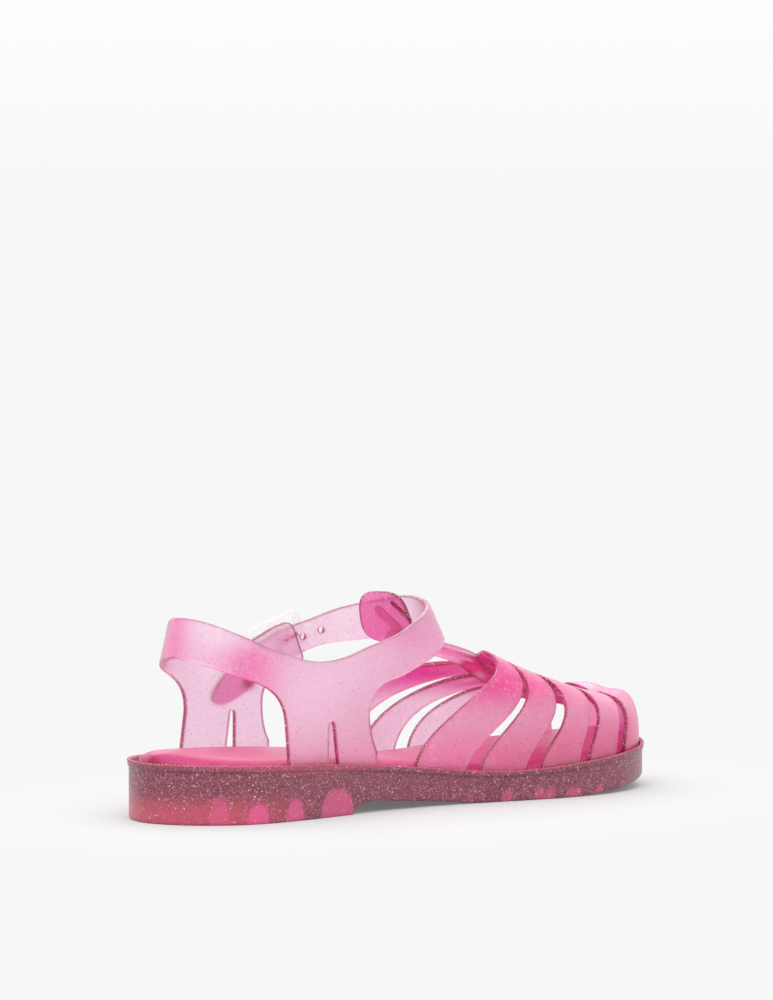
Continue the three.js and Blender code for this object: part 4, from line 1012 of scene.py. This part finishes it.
# Buckle, prong and stud
def buckle_at(p, q, outward):
    """A place in the buckle's plane laid onto the ring: p along the strap to the toe and q across it."""
    arc = BUCKLE_ARC * ring_length - p * math.cos(BUCKLE_TILT) + q * math.sin(BUCKLE_TILT)
    z = BUCKLE_LEVEL * INSTEP_HEIGHT + p * math.sin(BUCKLE_TILT) + q * math.cos(BUCKLE_TILT)
    return ring_at(arc, z, outward)


def bar_profile(width, thick, power=3.0, count=16):
    """Points of a superellipse."""
    angle = np.linspace(0, 2 * np.pi, count, endpoint=False)
    cosine = np.cos(angle)
    sine = np.sin(angle)
    return np.stack([
        np.sign(cosine) * np.abs(cosine) ** (2 / power) * width / 2,
        np.sign(sine) * np.abs(sine) ** (2 / power) * thick / 2,
    ], axis=1)


def buckle_loop():
    """A superellipse profile carried round a rectangle with rounded corners, laid on the ring."""
    half_p = (BUCKLE_LENGTH - BUCKLE_BAR) / 2
    half_q = (BUCKLE_WIDTH - BUCKLE_BAR) / 2
    radius = BUCKLE_CORNER - BUCKLE_BAR / 2
    turn = np.linspace(0, np.pi / 2, 8)
    corners = []
    for quarter, (sign_p, sign_q) in enumerate(((1, 1), (-1, 1), (-1, -1), (1, -1))):
        angle = turn + quarter * np.pi / 2
        corners.append(np.stack([
            sign_p * (half_p - radius) + radius * np.cos(angle),
            sign_q * (half_q - radius) + radius * np.sin(angle),
        ], axis=1))
    corner = np.concatenate(corners)
    middle = STRAP_LIFT + CLEARANCE + BUCKLE_THICK / 2
    path = buckle_at(corner[:, 0], corner[:, 1], middle)
    up = unit(buckle_at(corner[:, 0], corner[:, 1], middle + 1) - path)
    ahead = unit(np.roll(path, -1, axis=0) - np.roll(path, 1, axis=0))
    return swept(path, unit(np.cross(ahead, up)), up, bar_profile(BUCKLE_BAR, BUCKLE_THICK), closed=True)


def buckle_bar(start, end, width, thick, outward):
    """A straight bar between two places of the buckle's plane, given as p and q."""
    t = np.linspace(0, 1, 16)
    p = start[0] + (end[0] - start[0]) * t
    q = start[1] + (end[1] - start[1]) * t
    path = buckle_at(p, q, outward)
    up = unit(buckle_at(p, q, outward + 1) - path)
    ahead = np.gradient(path, axis=0)
    return swept(path, unit(np.cross(ahead, up)), up, bar_profile(width, thick))


def stud_piece():
    """A round button: a profile of radius and height turned about the ring's normal."""
    arc = STUD_ARC * ring_length
    level = STUD_LEVEL * INSTEP_HEIGHT
    normal = ring_normal(arc, level)
    side = unit(np.cross(normal, [0.0, 0.0, 1.0]))
    other = np.cross(normal, side)
    bend = np.linspace(0, np.pi / 2, 6)
    radius = np.concatenate([[0.01], [STUD_RADIUS], STUD_RADIUS - 0.7 + 0.7 * np.cos(bend), [0.01]])
    height = np.concatenate([[0.0], [0.0], STUD_HEIGHT - 0.7 + 0.7 * np.sin(bend), [STUD_HEIGHT]])
    angle = np.linspace(0, 2 * np.pi, 32, endpoint=False)
    spin = np.cos(angle)[:, None] * side + np.sin(angle)[:, None] * other
    centre = ring_at(arc, level, STRAP_LIFT + CLEARANCE)
    points = centre + radius[:, None, None] * spin[None] + height[:, None, None] * normal
    faces = grid_quads(len(radius), len(angle), closed_columns=True).tolist()
    return points.reshape(-1, 3), faces


def strap_pink_and_shade(points, share):
    """How rich the pink of the ankle piece is: at the strap's tail, round the heel, low on the band beside
    it, and at the foot of the inner leg. Round the heel and low on the band it is painted shade."""
    z = points[:, 2]

    def bump(middle, spread, strength):
        return strength * np.exp(-((share - middle) / spread) ** 2)

    tail = TAIL_PINK[2] * smooth_step((share - TAIL_PINK[0]) / TAIL_PINK[1])
    # painted shade round the heel
    heel = bump(*HEEL_PAINTED_SHADE) * smooth_step((z - 42) / 8)
    # painted shade low on the band
    saddle_shade = bump(*SADDLE_PAINTED_SHADE) * smooth_step((70 - z) / 10)
    foot = FOOT_PINK * smooth_step((32 - z) / 16) * smooth_step(share / 0.05)
    return np.maximum(np.maximum(tail, heel), np.maximum(saddle_shade, foot))


def vamp_pink_and_shade(points):
    """How rich the pink of the vamp is: more low on the inner side, near the ridge and at the toe."""
    x = points[:, 0]
    z = points[:, 2]
    inner = smooth_step(0.5 - points[:, 1] / 20)
    # painted shade: the dark inside of the shoe lies behind the near ribs' lower parts
    low = VAMP_FOOT_PAINTED_SHADE * smooth_step((34 - z) / 18) * inner
    high = RIDGE_PINK * smooth_step((z - 32) / 14)
    return VAMP_PINK + np.maximum(low, high) + TOE_PINK * smooth_step((x - 190) / 45)


def vamp_rim(edge, points):
    """The vamp's cut edges look paler near the ridge, where the light comes through them."""
    return edge * (1 - 0.35 * smooth_step((points[:, 2] - 46) / 6))


def add_solid(name, made, material, slot, **attributes):
    """Adds a closed piece with its faces pointing outwards, whichever way round its grid ran."""
    points, faces = made[:2]
    fan = np.array([(f[0], f[k], f[k + 1]) for f in faces for k in range(1, len(f) - 1)])
    a, b, c = (points[fan[:, k]] for k in range(3))
    if np.einsum("ij,ij->i", a, np.cross(b, c)).sum() < 0:
        faces = [face[::-1] for face in faces]
    return add_piece(name, points, faces, material, slot, **attributes)


def jelly_vinyl():
    """Soft PVC tinted pink, with fine pearl and glitter in it, from a polished mould. Light passes through it
    but is scattered, so that one wall is pale, two are deep pink, and what stands behind is only a blur. At
    the cut edges it is dark red. Where the deep attribute is high the pink is richer: each piece's own tone,
    and painted shade round the heel, low on the band beside it and low on the vamp's inner side. Single
    flecks of glitter, pale or deep pink, let less light through. The polish gives it a thin bright gloss."""
    material, tree = new_material("pearl_pink_pvc")
    absorbed = (0.0, 94.0, 32.0)    # per metre, of red, green and blue
    rim = add_node(tree, "ShaderNodeAttribute", {"attribute_name": "edge"})
    # deep: each piece's own richer pink, and painted shade in places
    thick = add_node(tree, "ShaderNodeAttribute", {"attribute_name": "deep"})
    place = add_node(tree, "ShaderNodeTexCoord")
    cells = flecks(tree, place, JELLY_FLECK)
    drawn = add_node(tree, "ShaderNodeSeparateColor", None, Color=cells.outputs["Color"])
    pale = add_node(tree, "ShaderNodeMath", {"operation": "GREATER_THAN", 1: 0.94}, i0=drawn.outputs["Red"])
    dark = add_node(tree, "ShaderNodeMath", {"operation": "GREATER_THAN", 1: 0.99}, i0=drawn.outputs["Green"])
    fleck = add_node(tree, "ShaderNodeMath", {"operation": "MAXIMUM"}, i0=pale.outputs[0], i1=dark.outputs[0])
    cloud = noise(tree, place, 1.4, 3.0)
    mottle = add_node(tree, "ShaderNodeMapRange", {1: 0.35, 2: 0.65, 3: 0.0, 4: 0.14},
                      Value=cloud.outputs["Fac"])
    whole = add_node(tree, "ShaderNodeMath", {"operation": "MAXIMUM", "use_clamp": True},
                     i0=rim.outputs["Fac"], i1=mottle.outputs[0])
    body = blend(tree, thick.outputs["Fac"], "#fffcfe", "#ff60c2")
    tint = blend(tree, whole.outputs[0], body, "#a0204a")
    glint = blend(tree, dark.outputs[0], "#ffe6f0", "#d06a98")
    colour = blend(tree, fleck.outputs[0], tint, glint)
    pearly = add_node(tree, "ShaderNodeMapRange", {3: 1.0, 4: 0.86}, Value=thick.outputs["Fac"])
    through = add_node(tree, "ShaderNodeMath", {"operation": "MULTIPLY_ADD", 1: -0.25},
                       i0=fleck.outputs[0], i2=pearly.outputs[0])
    bump = relief(tree, 0.06, noise(tree, place, 0.8).outputs["Fac"])
    surface = add_node(tree, "ShaderNodeBsdfPrincipled", {
        "Roughness": 0.5, "IOR": 1.35, "Coat Weight": 0.6, "Coat Roughness": 0.1,
    }, Base_Color=colour, Normal=bump.outputs[0], Transmission_Weight=through.outputs[0])
    density = max(absorbed) * 1.05
    clear = [1 - value / density for value in absorbed]
    depth = add_node(tree, "ShaderNodeVolumeAbsorption", {"Color": (*clear, 1.0), "Density": density})
    add_node(tree, "ShaderNodeOutputMaterial", None, Surface=surface.outputs[0], Volume=depth.outputs[0])
    return material


def footbed_vinyl():
    """Soft PVC, pigmented hot pink, from a satin mould: an even colour, a broad sheen and a faint pebble."""
    material, tree = new_material("satin_pink_pvc")
    place = add_node(tree, "ShaderNodeTexCoord")
    tint = blend(tree, noise(tree, place, 30).outputs["Fac"], "#a6205a", "#ae2662")
    bump = relief(tree, 0.08, noise(tree, place, 0.6).outputs["Fac"])
    surface = add_node(tree, "ShaderNodeBsdfPrincipled", {"Roughness": 0.42, "IOR": 1.5},
                       Base_Color=tint, Normal=bump.outputs[0])
    add_node(tree, "ShaderNodeOutputMaterial", None, Surface=surface.outputs[0])
    return material


def glitter_vinyl():
    """PVC full of fine glitter, maroon with pale and dark flecks. It has a painted pink glow over the
    hollows, and is painted redder where the light gets in under the rim and low in the heel block."""
    material, tree = new_material("glitter_maroon_pvc")
    place = add_node(tree, "ShaderNodeTexCoord")
    glow = add_node(tree, "ShaderNodeAttribute", {"attribute_name": "glow"})
    warm = add_node(tree, "ShaderNodeAttribute", {"attribute_name": "warm"})
    cells = flecks(tree, place, SOLE_FLECK)
    ramp = add_node(tree, "ShaderNodeValToRGB", None, Fac=cells.outputs["Color"])
    stops = ramp.color_ramp.elements
    stops[0].position = 0.0
    stops[0].color = linear("#401a24")
    stops[1].position = 1.0
    stops[1].color = linear("#f4d0d8")
    for position, code in ((0.4, "#6e2e3e"), (0.75, "#8a4456"), (0.88, "#a87080")):
        stop = stops.new(position)
        stop.color = linear(code)
    speck = add_node(tree, "ShaderNodeMapRange", {3: 0.85, 4: 0.45}, Value=cells.outputs["Color"])
    # the warm attribute: painted red glow under the rim and low in the heel block, and the beads' own red
    red_glow_and_tone = add_node(tree, "ShaderNodeMath", {"operation": "MULTIPLY"},
                     i0=warm.outputs["Fac"], i1=speck.outputs[0])
    reddened = blend(tree, red_glow_and_tone.outputs[0], ramp.outputs[0], "#cc4860")
    # painted pink glow over the hollows, for the light through the thin wall, broken up by the flecks
    hollow_glow_share = add_node(tree, "ShaderNodeMath", {"operation": "MULTIPLY"},
                    i0=glow.outputs["Fac"], i1=speck.outputs[0])
    colour = blend(tree, hollow_glow_share.outputs[0], reddened, "#d65086")
    bump = relief(tree, 0.15, cells.outputs["Distance"])
    surface = add_node(tree, "ShaderNodeBsdfPrincipled", {"Roughness": 0.32, "IOR": 1.53},
                       Base_Color=colour, Normal=bump.outputs[0])
    add_node(tree, "ShaderNodeOutputMaterial", None, Surface=surface.outputs[0])
    return material


def clear_acrylic():
    """Injection-moulded clear acrylic: nearly invisible face on, with bright and grey outlines."""
    material, tree = new_material("clear_acrylic")
    facing = add_node(tree, "ShaderNodeLayerWeight", {"Blend": 0.2})
    alpha = add_node(tree, "ShaderNodeMapRange", {3: 0.07, 4: 0.7}, Value=facing.outputs["Facing"])
    surface = add_node(tree, "ShaderNodeBsdfPrincipled", {"Roughness": 0.06, "IOR": 1.49},
                       Alpha=alpha.outputs[0])
    surface.inputs["Base Color"].default_value = linear("#e9e4e6")
    add_node(tree, "ShaderNodeOutputMaterial", None, Surface=surface.outputs[0])
    return material


def build_shoe():
    """Every piece with its material. Each CAD node's own mesh is hidden once its first piece is made."""
    jelly = jelly_vinyl()
    satin = footbed_vinyl()
    glitter = glitter_vinyl()
    acrylic = clear_acrylic()

    sole = sole_piece()
    points = sole[0]
    outsole = add_solid("sole_shell", sole, glitter, "sole", glow=hollow_glow(points), warm=heel_painted_glow(points))
    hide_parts("outsole")
    beads = bead_piece()
    flat = np.zeros(len(beads[0]))
    add_solid("rim_beads", beads, glitter, "sole", glow=flat, warm=flat + BEAD_WARMTH)

    footbed = add_solid("footbed", footbed_piece(), satin, "insole")
    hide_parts("insole")

    ankle = ankle_piece()
    straps = add_solid("ankle_straps", ankle, jelly, "upper", edge=ankle[2],
                       deep=strap_pink_and_shade(ankle[0], ankle[3]))
    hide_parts("upper")
    vamp = vamp_piece()
    add_solid("vamp_ribs", vamp, jelly, "upper", edge=vamp_rim(vamp[2], vamp[0]), deep=vamp_pink_and_shade(vamp[0]))
    tbar = tbar_piece()
    deep = np.full(len(tbar[0]), TBAR_PINK)
    add_solid("tbar_strip", tbar, jelly, "upper", edge=tbar[2] * TBAR_EDGE, deep=deep)
    head = head_piece()
    add_solid("tbar_head", head, jelly, "upper", edge=head[2], deep=np.full(len(head[0]), HEAD_PINK))
    for number, (arc, level, end_arc, end_level, width, height, dark) in enumerate(HEAD_BARS):
        start = (arc * ring_length, level * INSTEP_HEIGHT)
        end = (end_arc * ring_length, end_level * INSTEP_HEIGHT)
        bar = head_bar(start, end, width, height, HEAD_FACE)
        flat = np.ones(len(bar[0]))
        add_solid(f"head_bar_{number + 1}", bar, jelly, "upper", edge=dark * flat, deep=HEAD_BAR_PINK * flat)

    frame_loop = add_solid("buckle_loop", buckle_loop(), acrylic, "buckle")
    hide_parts("buckle_frame")
    floor = STRAP_LIFT + CLEARANCE
    half_q = BUCKLE_WIDTH / 2 - BUCKLE_BAR / 2
    axle = buckle_bar((0, -half_q), (0, half_q), BUCKLE_BAR, BUCKLE_THICK - 0.4, floor + BUCKLE_THICK / 2)
    add_solid("buckle_axle", axle, acrylic, "buckle")
    root = BUCKLE_BAR / 2 + CLEARANCE
    reach = BUCKLE_LENGTH / 2 - BUCKLE_BAR - CLEARANCE
    prong = buckle_bar((root, 0), (reach, 0), PRONG_THICK, PRONG_WIDTH, floor + PRONG_THICK / 2)
    flat = np.ones(len(prong[0]))
    tongue = add_solid("prong_bar", prong, jelly, "stud", edge=PRONG_EDGE * flat, deep=flat)
    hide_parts("buckle_prong")
    stud = stud_piece()
    flat = np.ones(len(stud[0]))
    button = add_solid("stud_button", stud, jelly, "stud", edge=STUD_EDGE * flat, deep=flat)
    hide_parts("keeper_stud")


PALE = "#f7f7f7"        # the studio's surround and the far floor
CARD = "#bebebe"        # the card under the shoe, which takes its shadow
CARD_OVAL = (0.24, 0.17)    # half sizes of the card's oval, in metres
FLOOR_REACH = 60.0      # far enough for the floor to end at the horizon, in metres


def build_studio():
    """A pale floor and surround, brighter overhead, with a softbox on the camera's side and one behind."""
    scene = bpy.context.scene
    scene.view_settings.view_transform = "Standard"
    scene.cycles.transparent_max_bounces = 16
    world = bpy.data.worlds.new("pale_surround")
    world.use_nodes = True
    sky = world.node_tree
    sky.nodes["Background"].inputs["Color"].default_value = linear(PALE)
    toward = add_node(sky, "ShaderNodeTexCoord")
    height = add_node(sky, "ShaderNodeSeparateXYZ", None, Vector=toward.outputs["Generated"])
    glow = add_node(sky, "ShaderNodeMapRange", {1: 0.05, 2: 0.65, 3: 1.0, 4: 1.75}, Value=height.outputs["Z"])
    sky.links.new(glow.outputs[0], sky.nodes["Background"].inputs["Strength"])
    scene.world = world

    material, tree = new_material("white_card")
    place = add_node(tree, "ShaderNodeTexCoord")
    oval = add_node(tree, "ShaderNodeMapping", {
        "Scale": (1 / CARD_OVAL[0], 1 / CARD_OVAL[1], 0.0),
    }, Vector=place.outputs["Object"])
    away = add_node(tree, "ShaderNodeVectorMath", {"operation": "LENGTH"}, i0=oval.outputs[0])
    fade = add_node(tree, "ShaderNodeMapRange", {
        "interpolation_type": "SMOOTHSTEP", 1: 1.0, 2: 0.5, 4: 0.85,
    }, Value=away.outputs["Value"])
    plain = add_node(tree, "ShaderNodeEmission", {"Color": linear(PALE)})
    card = add_node(tree, "ShaderNodeBsdfDiffuse", {"Color": linear(CARD)})
    both = add_node(tree, "ShaderNodeMixShader", None,
                    Fac=fade.outputs[0], i1=plain.outputs[0], i2=card.outputs[0])
    add_node(tree, "ShaderNodeOutputMaterial", None, Surface=both.outputs[0])
    data = bpy.data.meshes.new("studio_floor")
    far = FLOOR_REACH
    data.from_pydata([(-far, -far, 0), (far, -far, 0), (far, far, 0), (-far, far, 0)], [], [(0, 1, 2, 3)])
    data.materials.append(material)
    floor = bpy.data.objects.new("studio_floor", data)
    scene.collection.objects.link(floor)

    for name, place, size, power in (
        ("softbox_key", (-0.9, -0.9, 1.6), 1.4, 18.0),
        ("softbox_back", (0.9, 1.3, 1.2), 1.2, 8.0),
    ):
        lamp = bpy.data.lights.new(name, "AREA")
        lamp.size = size
        lamp.energy = power
        holder = bpy.data.objects.new(name, lamp)
        holder.location = place
        holder.rotation_euler = (Vector((0, 0, 0.03)) - Vector(place)).to_track_quat("-Z", "Y").to_euler()
        scene.collection.objects.link(holder)


CAMERA_AZIMUTH = 47.0249        # degrees from the x axis to where the camera looks
CAMERA_TILT = 1.6438            # degrees that it looks down
CAMERA_PLACE = (-901.2, -1098.9, 160.3)
FOCAL_LENGTH = 3846.92          # in pixels of the photo, which is 1000 high
PHOTO_HEIGHT = 1000
SENSOR = 36.0


def place_camera():
    """The photo's view: 47 degrees round from the heel on the inner side, from low down and far off."""
    azimuth = math.radians(CAMERA_AZIMUTH)
    elevation = math.radians(CAMERA_TILT)
    ahead = Vector((
        math.cos(azimuth) * math.cos(elevation),
        math.sin(azimuth) * math.cos(elevation),
        -math.sin(elevation),
    ))
    right = Vector((math.sin(azimuth), -math.cos(azimuth), 0.0))
    up = right.cross(ahead)
    stand = (Vector(CAMERA_PLACE) + Vector(SHIFT)) * MM
    data = bpy.data.cameras.new("photo_camera")
    data.sensor_width = SENSOR
    data.lens = SENSOR * FOCAL_LENGTH / PHOTO_HEIGHT
    camera = bpy.data.objects.new("photo_camera", data)
    camera.matrix_world = Matrix((
        (right.x, up.x, -ahead.x, stand.x),
        (right.y, up.y, -ahead.y, stand.y),
        (right.z, up.z, -ahead.z, stand.z),
        (0.0, 0.0, 0.0, 1.0),
    ))
    bpy.context.scene.collection.objects.link(camera)
    bpy.context.scene.camera = camera


build_shoe()
build_studio()
place_camera()
